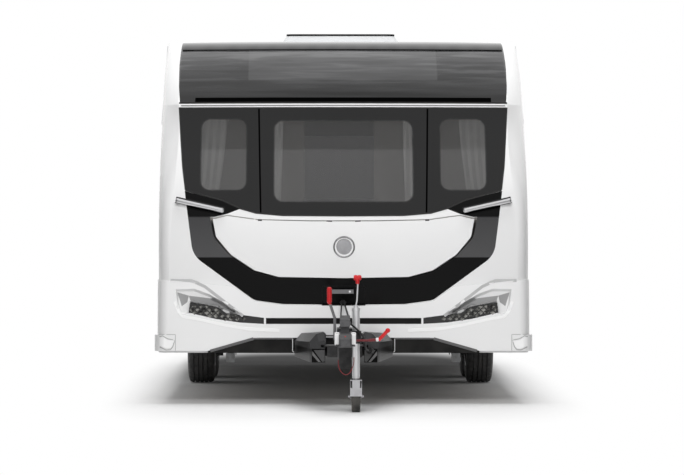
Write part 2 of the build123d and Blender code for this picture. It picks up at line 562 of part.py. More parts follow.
# Coupling head with the overrun shaft, its bellows, and the ball socket
BALL_RADIUS = 25
SOCKET_CLEAR = 0.4
SOCKET_Y = -3880
SOCKET_DEPTH = 48
HEAD_BOTTOM_Z = 419
SOCKET_RADIUS = BALL_RADIUS + SOCKET_CLEAR
HEAD_HALF = 40
HEAD_NOSE_RADIUS = 18
HEAD_REAR_Y = -3645
CHEEK_THICK = 20
CHEEK_Y = (-3925, -3835)
CHEEK_Z = (425, 508)
GRIP_HALF = 32
BELLOWS_FRONT_Y = -3640
BELLOWS_FOLDS = 7
BELLOWS_PITCH = 30
BELLOWS_RADIUS = 36
BELLOWS_WAIST = 31
shaft = rod((0, SHAFT_FRONT_Y, SHAFT_Z), (0, HOUSING_Y[0], SHAFT_Z), SHAFT_RADIUS)
bellows_parts = []
for fold in range(BELLOWS_FOLDS):
    y = BELLOWS_FRONT_Y + fold * BELLOWS_PITCH
    crest_end = y + BELLOWS_PITCH / 2
    waist_end = min(y + BELLOWS_PITCH, HOUSING_Y[0])
    bellows_parts.append(rod((0, y, SHAFT_Z), (0, crest_end, SHAFT_Z), BELLOWS_RADIUS))
    bellows_parts.append(rod((0, crest_end, SHAFT_Z), (0, waist_end, SHAFT_Z), BELLOWS_WAIST))
head_outline = [
    (COUPLING_NOSE_Y, 430), (COUPLING_NOSE_Y, 470), (-3935, 500), (-3800, 512), (HEAD_REAR_Y, 500),
    (HEAD_REAR_Y, HEAD_BOTTOM_Z + 8), (-3790, HEAD_BOTTOM_Z), (-3960, HEAD_BOTTOM_Z)]
head_body = outline_x(head_outline, -HEAD_HALF, HEAD_HALF)
head = fillet(head_body.edges().filter_by(Axis.Z).group_by(Axis.Y)[0], HEAD_NOSE_RADIUS)
head_cheeks = both_sides(block(HEAD_HALF, HEAD_HALF + CHEEK_THICK, *CHEEK_Y, *CHEEK_Z))
socket_bore = rod((0, SOCKET_Y, HEAD_BOTTOM_Z - 5), (0, SOCKET_Y, HEAD_BOTTOM_Z + SOCKET_DEPTH), SOCKET_RADIUS)
ball_void = Pos(0, SOCKET_Y, HEAD_BOTTOM_Z + SOCKET_DEPTH) * Sphere(SOCKET_RADIUS)
GRIP_ROOT_HALF = 26
GRIP_BOTTOM_Z = 545
grip_root = block(-GRIP_ROOT_HALF, GRIP_ROOT_HALF, -3790, -3700, CHEEK_Z[1], GRIP_BOTTOM_Z)
grip_outline = [(-3830, GRIP_BOTTOM_Z), (-3800, 588), (-3690, 612), (-3655, 600), (-3655, 575),
                (-3700, GRIP_BOTTOM_Z)]
grip_bar = outline_x(grip_outline, -GRIP_HALF, GRIP_HALF)
head = fuse([head, grip_root, grip_bar])
head = head - socket_bore - ball_void
coupling_head = fuse([head, *head_cheeks, shaft])
bellows_bore = rod((0, BELLOWS_FRONT_Y - 5, SHAFT_Z), (0, HOUSING_Y[0] + 5, SHAFT_Z), SHAFT_RADIUS)
coupling_bellows = fuse(bellows_parts) - bellows_bore

# Red stabiliser lever on the +X side of the coupling, and the handbrake lever on the other side
STAB_POINTS = ((60, -3700, 455), (150, -3705, 456), (215, -3710, 462), (267, -3715, 518))
STAB_RADII = (7, 9, 11)
STAB_KNOB_RADIUS = 15
STAB_ROOT = (HEAD_HALF, HEAD_HALF + 22, -3715, -3685, 440, 470)
stabiliser_lever = fuse([
    *[rod(*STAB_POINTS[i:i + 2], radius) for i, radius in enumerate(STAB_RADII)],
    *[Pos(*STAB_POINTS[i]) * Sphere(STAB_RADII[i]) for i in (1, 2)],
    Pos(*STAB_POINTS[3]) * Sphere(STAB_KNOB_RADIUS),
    block(*STAB_ROOT)])
BRAKE_POINTS = ((-62, -3290, 455), (-62, -3300, 585), (-96, -3312, 687), (-96, -3320, 767))
BRAKE_RADIUS = 9
BRAKE_PIVOT_RADIUS = 12
BRAKE_GRIP_RADIUS = 15
pivot_x, pivot_y, pivot_z = BRAKE_POINTS[0]
handbrake_lever = fuse([
    rod((pivot_x - 10, pivot_y, pivot_z), (-HOUSING_HALF, pivot_y, pivot_z), BRAKE_PIVOT_RADIUS),
    rod(*BRAKE_POINTS[0:2], BRAKE_RADIUS),
    rod(*BRAKE_POINTS[1:3], BRAKE_RADIUS),
    rod(*BRAKE_POINTS[2:4], BRAKE_GRIP_RADIUS),
    Pos(*BRAKE_POINTS[0]) * Sphere(BRAKE_PIVOT_RADIUS),
    Pos(*BRAKE_POINTS[1]) * Sphere(BRAKE_RADIUS),
    *[Pos(*point) * Sphere(BRAKE_GRIP_RADIUS) for point in BRAKE_POINTS[2:]]])

# Hitch cover: two wings beside a middle channel, joined at the back. Each wing is a shell, open
# below, whose front end slopes back. The inner wall stops above the drawbar, which runs through it.
COVER_SHEET = 5
COVER_CHANNEL = 118
COVER_REAR_Y = BUMPER_FACE_Y - 12
COVER_SLOPE = 62
COVER_EDGE_CUT = (45, 50)
COVER_TOP_DROP = 10
COVER_OPEN_BELOW = 20
COVER_CUT_TOP_Z = BAR_Z[1] + 6
BRIDGE_LENGTH = 60
BRIDGE_Z = (450, 456)
# wing levels: y, outer x, lowest z, top z
WING_LEVELS = (
    (COVER_FRONT_Y, 208, 306, 446),
    (COVER_FRONT_Y + COVER_SLOPE, 222, 307, 496),
    (COVER_REAR_Y, 321, 314, 478))


def wing_section(level, inset=0, sink=0, shift=0):
    """One level of a wing as an upright face, with its outer top edge cut back."""
    y, outer_x, low_z, top_z = level
    x0 = COVER_CHANNEL + inset
    x1 = outer_x - inset
    top = top_z - inset
    edge = top - COVER_TOP_DROP
    points = [(x0, y + shift, low_z - sink), (x1, y + shift, low_z - sink),
              (x1, y + shift, edge - COVER_EDGE_CUT[1]), (x1 - COVER_EDGE_CUT[0], y + shift, edge),
              (x0 + 15, y + shift, top), (x0, y + shift, top - 12)]
    return make_face(Polyline(*points, close=True))


wing = loft([wing_section(level) for level in WING_LEVELS], ruled=True)
hollow_shifts = (COVER_SHEET, 0, 1)
wing_hollow = loft([wing_section(level, COVER_SHEET, COVER_OPEN_BELOW, shift)
                    for level, shift in zip(WING_LEVELS, hollow_shifts)], ruled=True)
inner_wall_cut = block(COVER_CHANNEL - 2, COVER_CHANNEL + COVER_SHEET + 0.5, COVER_FRONT_Y - 2,
                       COVER_REAR_Y + 5, WING_LEVELS[0][2] - 2, COVER_CUT_TOP_Z)
front_wall_cut = block(COVER_CHANNEL - 2, HOUSING_FLOOR_HALF + 20, COVER_FRONT_Y - 2,
                       COVER_FRONT_Y + COVER_SHEET + 1, BAR_Z[1] - 12, COVER_CUT_TOP_Z)
wing = wing - wing_hollow - inner_wall_cut - front_wall_cut
bridge = block(-COVER_CHANNEL - 20, COVER_CHANNEL + 20, COVER_REAR_Y - BRIDGE_LENGTH, COVER_REAR_Y, *BRIDGE_Z)
hitch_cover = fuse([*both_sides(wing), bridge])

# Jockey wheel: a clamp on the drawbar, the sliding tube with its crank, the swivelling fork, the wheel
JOCKEY_X = 70
JOCKEY_Y = -3575
TUBE_RADIUS = 24
TUBE_BORE = 21
TUBE_Z = (214, 657)
CLAMP_CLEAR = 0.4
CLAMP_Z = (432, 512)
CLAMP_RADIUS = 34
CLAMP_ARM_TOP_Z = 496
JOCKEY_RADIUS = 98
JOCKEY_WIDTH = 54
JOCKEY_TRAIL = 40
JOCKEY_DISH_RADIUS = 72
JOCKEY_HUB_RADIUS = 20
JOCKEY_AXLE_RADIUS = 8
JOCKEY_AXLE_CLEAR = 0.5
FORK_CLEAR = 5
FORK_SHEET = 5
FORK_STEM_RADIUS = 19
CRANK = ((70, -3575, 672), (76, -3575, 700), (82, -3560, 815))
CRANK_RADIUS = 5
CRANK_BOSS_RADIUS = 15
CRANK_GRIP_X = 80
CRANK_GRIP_Z = 845
CRANK_GRIP_HALF = 21


def upright(z0, z1, radius):
    """A cylinder on the jockey wheel's upright axis."""
    return Pos(JOCKEY_X, JOCKEY_Y, 0) * rod((0, 0, z0), (0, 0, z1), radius)


clamp_hole = upright(CLAMP_Z[0] - 5, CLAMP_Z[1] + 5, TUBE_RADIUS + CLAMP_CLEAR)
clamp_ring = upright(*CLAMP_Z, CLAMP_RADIUS)
clamp_arm = block(JOCKEY_X - 15, JOCKEY_X + 25, JOCKEY_Y, HOUSING_Y[0] + 6, CLAMP_Z[0] + 6, CLAMP_ARM_TOP_Z)
clamp_foot = block(HOUSING_HALF, JOCKEY_X + 25, HOUSING_Y[0], HOUSING_Y[0] + 30, BAR_Z[1], CLAMP_ARM_TOP_Z)
jockey_clamp = fuse([clamp_ring, clamp_arm, clamp_foot]) - clamp_hole
jockey_tube = upright(*TUBE_Z, TUBE_RADIUS) - upright(TUBE_Z[0] - 1, TUBE_Z[1] - 6, TUBE_BORE)
jockey_crank = fuse([
    upright(TUBE_Z[1], CRANK[0][2], CRANK_BOSS_RADIUS),
    rod(CRANK[0], CRANK[1], CRANK_RADIUS),
    Pos(*CRANK[1]) * Sphere(CRANK_RADIUS),
    rod(CRANK[1], CRANK[2], CRANK_RADIUS),
    rod((CRANK_GRIP_X, CRANK[2][1], CRANK[2][2] - 3), (CRANK_GRIP_X, CRANK[2][1], CRANK_GRIP_Z), 9),
    rod((CRANK_GRIP_X - CRANK_GRIP_HALF, CRANK[2][1], CRANK_GRIP_Z),
        (CRANK_GRIP_X + CRANK_GRIP_HALF, CRANK[2][1], CRANK_GRIP_Z), 11)])
axle_y = JOCKEY_Y + JOCKEY_TRAIL
fork_inner = JOCKEY_WIDTH / 2 + FORK_CLEAR
fork_outer = fork_inner + FORK_SHEET
fork_top_z = 2 * JOCKEY_RADIUS + FORK_CLEAR + FORK_SHEET
web_y = axle_y - JOCKEY_RADIUS - FORK_CLEAR
fork_top = block(JOCKEY_X - fork_outer, JOCKEY_X + fork_outer, web_y - FORK_SHEET, axle_y + 20,
                 fork_top_z - FORK_SHEET, fork_top_z)
fork_web = block(JOCKEY_X - TUBE_RADIUS, JOCKEY_X + TUBE_RADIUS, web_y - FORK_SHEET, web_y, 150, fork_top_z)
fork_web = fork_web + block(JOCKEY_X - fork_outer, JOCKEY_X + fork_outer, web_y - FORK_SHEET, web_y, 103, 155)
fork_outline = [(web_y - FORK_SHEET, 155), (web_y - FORK_SHEET, 103), (axle_y - 20, JOCKEY_RADIUS - 14),
                (axle_y + 16, JOCKEY_RADIUS - 14), (axle_y + 20, fork_top_z), (JOCKEY_Y - 30, fork_top_z)]
fork_legs = [outline_x(fork_outline, JOCKEY_X + side * fork_inner - (side < 0) * FORK_SHEET,
                       JOCKEY_X + side * fork_inner + (side > 0) * FORK_SHEET) for side in (-1, 1)]
jockey_fork = fuse([
    fork_top, fork_web, *fork_legs, upright(fork_top_z - 1, 400, FORK_STEM_RADIUS),
    rod((JOCKEY_X - 50, axle_y, JOCKEY_RADIUS), (JOCKEY_X + 50, axle_y, JOCKEY_RADIUS), JOCKEY_AXLE_RADIUS)])
wheel_face = disc_x(axle_y, JOCKEY_RADIUS, JOCKEY_X - JOCKEY_WIDTH / 2, JOCKEY_X + JOCKEY_WIDTH / 2,
                    JOCKEY_RADIUS)
wheel_face = fillet(wheel_face.edges().filter_by(GeomType.CIRCLE), 8)
for side in (-1, 1):
    x_out = JOCKEY_X + side * (JOCKEY_WIDTH / 2 + 1)
    x_in = JOCKEY_X + side * 12
    dish = disc_x(axle_y, JOCKEY_RADIUS, min(x_out, x_in), max(x_out, x_in), JOCKEY_DISH_RADIUS)
    hub = disc_x(axle_y, JOCKEY_RADIUS, min(x_out, x_in), max(x_out, x_in), JOCKEY_HUB_RADIUS)
    wheel_face = wheel_face - (dish - hub)
jockey_wheel = wheel_face - disc_x(axle_y, JOCKEY_RADIUS, JOCKEY_X - 40, JOCKEY_X + 40,
                                   JOCKEY_AXLE_RADIUS + JOCKEY_AXLE_CLEAR)

# Road wheels
TYRE_BEAD_RADIUS = 184
tyre_half = TYRE_WIDTH / 2


def tyre(x, y):
    """A tyre as a turned ring with round shoulders."""
    section = Polyline(
        (x - 88, TYRE_BEAD_RADIUS), (x - 88, 192), (x - tyre_half, 225), (x - tyre_half, 262),
        (x - 84, TYRE_RADIUS - 5),
        (x - 60, TYRE_RADIUS), (x + 60, TYRE_RADIUS), (x + 84, TYRE_RADIUS - 5), (x + tyre_half, 262),
        (x + tyre_half, 225), (x + 88, 192), (x + 88, TYRE_BEAD_RADIUS), (x + 80, TYRE_BEAD_RADIUS),
        (x + 80, 290), (x - 80, 290), (x - 80, TYRE_BEAD_RADIUS), close=True)
    return Pos(0, y, TYRE_RADIUS) * revolve(make_face(section), Axis.X)


def wheel_rim(side, y):
    """An alloy rim: a barrel with two flanges, a dished face with ten openings, and a hub."""
    half = [(0, 164), (60, 164), (84, 170), (96, 176), (96, 192), (88, 192), (88, TYRE_BEAD_RADIUS),
            (76, TYRE_BEAD_RADIUS), (56, 172), (0, 172)]
    points = half + [(-x, r) for x, r in reversed(half) if x]
    barrel = revolve(make_face(Polyline(*points, close=True)), Axis.X)
    face = disc_x(0, 0, *sorted((side * 40, side * 56)), 170)
    hub = disc_x(0, 0, *sorted((side * 8, side * 62)), 62)
    windows = []
    for index in range(10):
        hole = disc_x(0, 0, *sorted((side * 30, side * 70)), 26)
        angle = index * 36
        turned = Rot(angle, 0, 0) * Pos(0, 0, 118) * hole
        windows.append(turned)
    bore = disc_x(0, 0, *sorted((side * 5, side * 45)), HUB_BORE)
    rim = fuse([barrel, face, hub]) - windows - bore
    return Pos(side * WHEEL_X, y, TYRE_RADIUS) * rim


tyres = {}
rims = {}
for place, axle in AXLE_YS.items():
    for side, sign in (("left", -1), ("right", 1)):
        tyres[f"{place}_{side}"] = tyre(sign * WHEEL_X, axle)
        rims[f"{place}_{side}"] = wheel_rim(sign, axle)

# Axles: a tube under the rails, trailing arms, drums and spindles
AXLE_TUBE_LEAD = 165
AXLE_TUBE_Z = 315
AXLE_TUBE_RADIUS = 42
ARM_X = (835, 875)
DRUM_X = (868, 922)
SPINDLE_END_X = WHEEL_X + 35


def axle_shape(y):
    """One rubber-sprung axle with its arms and drums."""
    tube_y = y - AXLE_TUBE_LEAD
    parts = [rod((-ARM_X[1], tube_y, AXLE_TUBE_Z), (ARM_X[1], tube_y, AXLE_TUBE_Z), AXLE_TUBE_RADIUS)]
    for sign in (1, -1):
        arm = outline_x([(tube_y - 40, 285), (tube_y - 40, 345), (y + 38, 345), (y + 38, 285)],
                        *sorted((sign * ARM_X[0], sign * ARM_X[1])))
        drum = disc_x(y, TYRE_RADIUS, *sorted((sign * DRUM_X[0], sign * DRUM_X[1])), DRUM_RADIUS)
        spindle = disc_x(y, TYRE_RADIUS, *sorted((sign * DRUM_X[1], sign * SPINDLE_END_X)), SPINDLE_RADIUS)
        parts += [arm, drum, spindle]
    return fuse(parts)


axles = [axle_shape(y) for y in AXLE_YS.values()]
for y in AXLE_YS.values():
    tube_y = y - AXLE_TUBE_LEAD
    tube_hole = rod((-RAIL_X - 60, tube_y, AXLE_TUBE_Z), (RAIL_X + 60, tube_y, AXLE_TUBE_Z), AXLE_TUBE_RADIUS)
    chassis_rails = chassis_rails - tube_hole

# Corner steadies, folded up under the rails
STEADY_HINGE_Z = 318
STEADY_LENGTH = 400
STEADY_STOWED = 4
STEADY_WIDTH = 36
STEADY_FOOT = 60
STEADY_PIN_RADIUS = 8
STEADY_PIN_CLEAR = 0.5
BRACKET_INNER = 25
BRACKET_SHEET = 6
BRACKET_Z = (296, 347)
steady_places = {
    "front_left": (-RAIL_X, -1790, -1), "front_right": (RAIL_X, -1790, -1),
    "rear_left": (-RAIL_X, 3240, 1), "rear_right": (RAIL_X, 3240, 1)}


def steady(x, y, way):
    """A leg that points along Y from its hinge, with a foot at its end."""
    half = STEADY_WIDTH / 2
    leg = block(x - half, x + half, *sorted((0, way * STEADY_LENGTH)), -14, 14)
    eye = Pos(x, 0, 0) * Rot(0, 90, 0) * Cylinder(16, STEADY_WIDTH)
    foot = block(x - STEADY_FOOT / 2, x + STEADY_FOOT / 2,
                 *sorted((way * (STEADY_LENGTH - 50), way * (STEADY_LENGTH + 4))), -14, -8)
    foot = foot + block(x - STEADY_FOOT / 2, x + STEADY_FOOT / 2,
                        *sorted((way * STEADY_LENGTH, way * (STEADY_LENGTH + 5))), -30, 30)
    pin_hole = Cylinder(STEADY_PIN_RADIUS + STEADY_PIN_CLEAR, STEADY_WIDTH + 5)
    shape = fuse([leg, eye, foot]) - Pos(x, 0, 0) * Rot(0, 90, 0) * pin_hole
    return Pos(0, y, STEADY_HINGE_Z) * Rot(-way * STEADY_STOWED, 0, 0) * shape


steadies = {name: steady(*place) for name, place in steady_places.items()}
bracket_outer = BRACKET_INNER + BRACKET_SHEET
steady_brackets = []
for x, y, way in steady_places.values():
    cheeks = [block(*sorted((x + side * BRACKET_INNER, x + side * bracket_outer)), y - BRACKET_INNER,
                    y + BRACKET_INNER, *BRACKET_Z) for side in (-1, 1)]
    pin = rod((x - bracket_outer, y, STEADY_HINGE_Z), (x + bracket_outer, y, STEADY_HINGE_Z), STEADY_PIN_RADIUS)
    top = block(x - bracket_outer, x + bracket_outer, y - BRACKET_INNER, y + BRACKET_INNER,
                BRACKET_Z[1] - BRACKET_SHEET, BRACKET_Z[1])
    steady_brackets.append(fuse([*cheeks, pin, top]))
chassis_rails = fuse([chassis_rails, *steady_brackets])

# Gas locker tub behind the lid, and the shelf under the front windows
LOCKER_BACK_Y = -2190
LOCKER_HALF = 900
LOCKER_SHEET = 15
SHELF_Z = (1190, 1205)
SHELF_FRONT_Y = -2440
SHELF_HALF = INNER_HALF - 35
LOCKER_FRONT_Y = -2480
locker_end_y = LOCKER_BACK_Y + LOCKER_SHEET
gas_locker_box = fuse([
    block(-LOCKER_HALF, LOCKER_HALF, LOCKER_BACK_Y, locker_end_y, FLOOR_TOP_Z, SHELF_Z[0]),
    block(-SHELF_HALF, SHELF_HALF, SHELF_FRONT_Y, locker_end_y, *SHELF_Z),
    *both_sides(block(LOCKER_HALF, LOCKER_HALF + LOCKER_SHEET, LOCKER_FRONT_Y, locker_end_y,
                      FLOOR_TOP_Z, SHELF_Z[0]))])

# Furniture: lounge benches, kitchen, cupboards and the bulkhead
BENCH_INNER_X = 540
BENCH_TOP_Z = 850
BENCH_SHEET = 15
BENCH_Y = (LOCKER_BACK_Y + LOCKER_SHEET, -560)
BULKHEAD_Y = (1950, 1980)


def bench(sign, y_end):
    """A bench box of a front board, an end board and a top board."""
    board = block(BENCH_INNER_X, BENCH_INNER_X + BENCH_SHEET, BENCH_Y[0], y_end, FLOOR_TOP_Z, BENCH_TOP_Z)
    top = block(BENCH_INNER_X, INNER_HALF, BENCH_Y[0], y_end, BENCH_TOP_Z, BENCH_TOP_Z + BENCH_SHEET)
    end = block(BENCH_INNER_X, INNER_HALF, y_end - BENCH_SHEET, y_end, FLOOR_TOP_Z, BENCH_TOP_Z)
    whole = fuse([board, top, end])
    return whole if sign > 0 else mirror(whole, about=Plane.YZ)


CHEST_BACK_Y = -1950
CHEST_TOP_Z = 1090
KITCHEN_INNER_X = -620
KITCHEN_TOP_Z = 1370
CUPBOARDS = (-INNER_HALF, -850, -600, BULKHEAD_Y[0], 1960, 2320)
DOORWAY_HALF = 270
DOORWAY_TOP_Z = 2300
chest = block(-BENCH_INNER_X + 40, BENCH_INNER_X - 40, BENCH_Y[0], CHEST_BACK_Y, FLOOR_TOP_Z, CHEST_TOP_Z)
kitchen = block(-INNER_HALF, KITCHEN_INNER_X, BENCH_Y[1] + 12, ARCH_Y[0] - WELL_SHEET, FLOOR_TOP_Z, KITCHEN_TOP_Z)
cupboards = block(*CUPBOARDS)
bulkhead = block(-INNER_HALF, INNER_HALF, *BULKHEAD_Y, FLOOR_TOP_Z, ROOF_UNDER_Z)
bulkhead = bulkhead - block(-DOORWAY_HALF, DOORWAY_HALF, BULKHEAD_Y[0] - 5, BULKHEAD_Y[1] + 5,
                            FLOOR_TOP_Z - 5, DOORWAY_TOP_Z)
interior_furniture = [bench(1, BENCH_Y[1]), bench(-1, BENCH_Y[1]), chest, kitchen, cupboards, bulkhead]
CUSHION_THICK = 130
BACKREST_THICK = 125
BACKREST_TOP_Z = 1335
seat_z = (BENCH_TOP_Z + BENCH_SHEET + SOFT_GAP, BENCH_TOP_Z + BENCH_SHEET + CUSHION_THICK)
SEAT_Y = (BENCH_Y[0] + 110, BENCH_Y[1] - 10)
cushion = block(BENCH_INNER_X, INNER_HALF - BACKREST_THICK - 5, *SEAT_Y, *seat_z)
backrest = block(INNER_HALF - BACKREST_THICK, INNER_HALF - SOFT_GAP, *SEAT_Y, seat_z[0], BACKREST_TOP_Z)
lounge_cushions = [*both_sides(fillet(cushion.edges(), 25)), *both_sides(fillet(backrest.edges(), 30))]
CURTAIN_Y = -2130
CURTAIN_DEPTH = 50
CURTAIN_Z = (1225, 1880)
CURTAIN_XS = ((820, 1080), (405, 560))
curtains = []
for x0, x1 in CURTAIN_XS:
    curtains += both_sides(block(x0, x1, CURTAIN_Y, CURTAIN_Y + CURTAIN_DEPTH, *CURTAIN_Z))

# Chrome grab bars over the pods, and the bar handle in the recess
GRAB_LEFT = ((-1088, 92, 1334), (-798, 46, 1270))
GRAB_RADIUS = 15
RECESS_BAR_X = (-76, 65)
RECESS_BAR_Z = (725, 752)
grab_start = (GRAB_LEFT[0][0], BUMPER_FACE_Y + GRAB_LEFT[0][1] - 10, GRAB_LEFT[0][2])
grab_end = (GRAB_LEFT[1][0], BUMPER_FACE_Y + GRAB_LEFT[1][1], GRAB_LEFT[1][2])
grab = fuse([
    rod(grab_start, grab_end, GRAB_RADIUS),
    Pos(*grab_start) * Sphere(GRAB_RADIUS), Pos(*grab_end) * Sphere(GRAB_RADIUS),
    rod(grab_start, (grab_start[0], BUMPER_FACE_Y + 230, grab_start[2] + 10), GRAB_RADIUS - 2),
    rod(grab_end, (grab_end[0], BUMPER_FACE_Y + 150, grab_end[2] + 8), GRAB_RADIUS - 2)]) - outer_nose
recess_bar = fuse([
    block(*RECESS_BAR_X, BUMPER_FACE_Y - 2, BUMPER_FACE_Y + 10, *RECESS_BAR_Z),
    *[block(x, x + 14, BUMPER_FACE_Y + 5, BUMPER_FACE_Y + 60, RECESS_BAR_Z[0] + 3, RECESS_BAR_Z[1] - 3)
      for x in (RECESS_BAR_X[0] + 2, RECESS_BAR_X[1] - 16)]]) - outer_nose
grab_handles = [grab.solids().sort_by(Axis.Y)[0], recess_bar.solids().sort_by(Axis.Y)[0]]
grab_handles.insert(1, mirror(grab_handles[0], about=Plane.YZ))
cable_gland = rod((-4, BUMPER_FACE_Y + 60, 668), (-4, BUMPER_FACE_Y + 13, 668), 17) - outer_nose
cable_gland = cable_gland.solids().sort_by(Axis.Y)[0]

# Cords. Each route is a list of points; the arcs at its corners are as large as the runs allow.
TOWING_RADIUS = 6
TOWING_ROUTE = (
    (4, -2612, 668), (4, -2662, 668), (9, -2745, 648), (18, -2870, 616), (25, -3010, 592), (29, -3160, 577),
    (31, -3310, 568), (31, -3440, 566), (31, -3540, 566), (36, -3615, 556), (66, -3643, 532),
    (103, -3638, 496), (126, -3610, 458), (130, -3572, 423), (132, -3534, 398), (143, -3505, 388),
    (150, -3480, 385))
DRAWBAR_RADIUS = 5
DRAWBAR_ROUTE = (
    (-13, -2612, 668), (-13, -2655, 668), (-15, -2735, 650), (-18, -2850, 624), (-20, -2960, 608),
    (-21, -3050, 600), (-21, -3108, 592), (-21, -3144, 578), (-21, -3163, 556), (-21, -3163, 530))
BREAKAWAY_RADIUS = 2.5
BREAKAWAY_ROUTE = (
    (-42, -3722, 335), (-42, -3722, 312), (-38, -3731, 282), (-20, -3736, 254), (4, -3738, 240),
    (27, -3738, 250), (43, -3737, 278), (56, -3731, 314), (56, -3731, 352))


def cord(route, radius):
    """A tube along straight runs joined by tangent arcs."""
    points = [Vector(*point) for point in route]
    runs = [b - a for a, b in zip(points, points[1:])]
    radii = []
    for before, after in zip(runs, runs[1:]):
        turn = math.radians(before.get_angle(after))
        radii.append(0.45 * min(before.length, after.length) / math.tan(turn / 2))
    path = FilletPolyline(*points, radius=radii)
    section = Plane(origin=points[0], z_dir=runs[0]) * Circle(radius)
    return sweep(section, path=path)


towing_cable = cord(TOWING_ROUTE, TOWING_RADIUS)
drawbar_cable = cord(DRAWBAR_ROUTE, DRAWBAR_RADIUS)
breakaway_cable = cord(BREAKAWAY_ROUTE, BREAKAWAY_RADIUS)
PLUG_NECK = (18, 10)
PLUG_BODY = (72, 20)
plug_dir = (Vector(*TOWING_ROUTE[-1]) - Vector(*TOWING_ROUTE[-2])).normalized()
plug_start = Vector(*TOWING_ROUTE[-1])
neck_end = plug_start + plug_dir * PLUG_NECK[0]
towing_plug = rod(plug_start, neck_end, PLUG_NECK[1])
towing_plug = towing_plug + rod(neck_end, plug_start + plug_dir * PLUG_BODY[0], PLUG_BODY[1])
gland_x, gland_y, gland_z = DRAWBAR_ROUTE[-1]
drawbar_gland = block(gland_x - 10, gland_x + 10, gland_y - 17, gland_y + 13, HOUSING_Z[1], gland_z)
eye_x, eye_y, eye_z = BREAKAWAY_ROUTE[0]
eye_root = block(eye_x - 5, eye_x + 22, eye_y - 5, eye_y + 5, HEAD_BOTTOM_Z - 2, HEAD_BOTTOM_Z + 10)
breakaway_eye = block(eye_x - 5, eye_x + 5, eye_y - 5, eye_y + 5, eye_z, HEAD_BOTTOM_Z + 10) + eye_root
clip_pin = rod((35, -3731, 428), (62, -3731, 428), 4)
coupling_head = fuse([coupling_head, breakaway_eye, clip_pin])
breakaway_clip = block(53, 59, -3739, -3723, 352, 436) - block(52, 60, -3735, -3727, 364, 432.5)
a_frame = a_frame + drawbar_gland

notch_face = make_face(Polyline(
    (BAR_FRONT[0] - bar_across - NOTCH, BAR_FRONT[1]), (BAR_FRONT[0] + bar_across + NOTCH, BAR_FRONT[1]),
    (BAR_REAR[0] + bar_across + NOTCH, BAR_REAR[1]), (BAR_REAR[0] - bar_across - NOTCH, BAR_REAR[1]), close=True))
notch = Pos(0, 0, SKIRT_Z - 5) * extrude(notch_face, amount=BAR_Z[1] + NOTCH / 3 - SKIRT_Z + 5)
for side_notch in both_sides(notch):
    front_moulding = front_moulding - side_notch
    lower_skirt = lower_skirt - side_notch

# Write every sub-part
save("front_moulding", front_moulding)
save("overhead_panel", overhead_panel)
save("front_windows", front_windows)
save("front_trim", front_trim + cable_gland)
save("gas_locker_lid", gas_locker_lid)
save("gas_locker_box", gas_locker_box)
save("front_bumper", front_bumper)
save("bumper_strip", [bumper_strip, lower_skirt])
save("front_lamps", front_lamps)
save("grab_handles", grab_handles)
save("side_wall_left", side_wall_left)
save("side_wall_right", side_wall_right)
save("cabin_windows", [*side_windows, rear_window])
save("side_skirts", side_skirts)
save("service_door", service_door)
save("cassette_door", cassette_door)
save("entrance_door", entrance_door)
save("door_window", door_window)
save("floor_panel", floor_panel)
save("wheel_boxes", wheel_boxes)
save("roof_panel", roof_panel)
save("roof_fittings", [*rooflights, *roof_vents])
save("rear_panel", rear_panel)
save("rear_bumper", rear_bumper)
save("rear_lamps", rear_lamps)
save("awning_rails", awning_rails)
save("chassis_rails", chassis_rails)
save("a_frame", a_frame)
save("axles", axles)
save("coupling_head", coupling_head)
save("coupling_bellows", coupling_bellows)
save("stabiliser_lever", stabiliser_lever)
save("handbrake_lever", handbrake_lever)
save("hitch_cover", hitch_cover)
save("jockey_clamp", jockey_clamp)
save("jockey_tube", jockey_tube + jockey_crank)
save("jockey_fork", jockey_fork)
save("jockey_wheel", jockey_wheel)
for name, shape in tyres.items():
    save(f"tyre_{name}", shape)
for name, shape in rims.items():
    save(f"rim_{name}", shape)
for name, shape in steadies.items():
    save(f"steady_{name}", shape)
save("interior_furniture", interior_furniture)
save("lounge_cushions", lounge_cushions)
save("curtains", curtains)
save("towing_cable", towing_cable)
save("towing_plug", towing_plug)
save("drawbar_cable", drawbar_cable)
save("breakaway_cable", breakaway_cable)
save("breakaway_clip", breakaway_clip)
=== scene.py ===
# %% [markdown]
# # A touring caravan, parked on its jockey wheel
# This lesson dresses a caravan whose rigid parts were drawn in CAD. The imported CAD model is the
# fixed frame: it comes in first, nothing in it moves, and every new piece rides on one of its
# bodies. Lengths are metres, +Z is up and the front of the caravan looks along -Y.

# %% Load the frame
import math
import random
from functools import partial

import bmesh
import bpy
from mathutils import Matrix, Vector
from mathutils.bvhtree import BVHTree


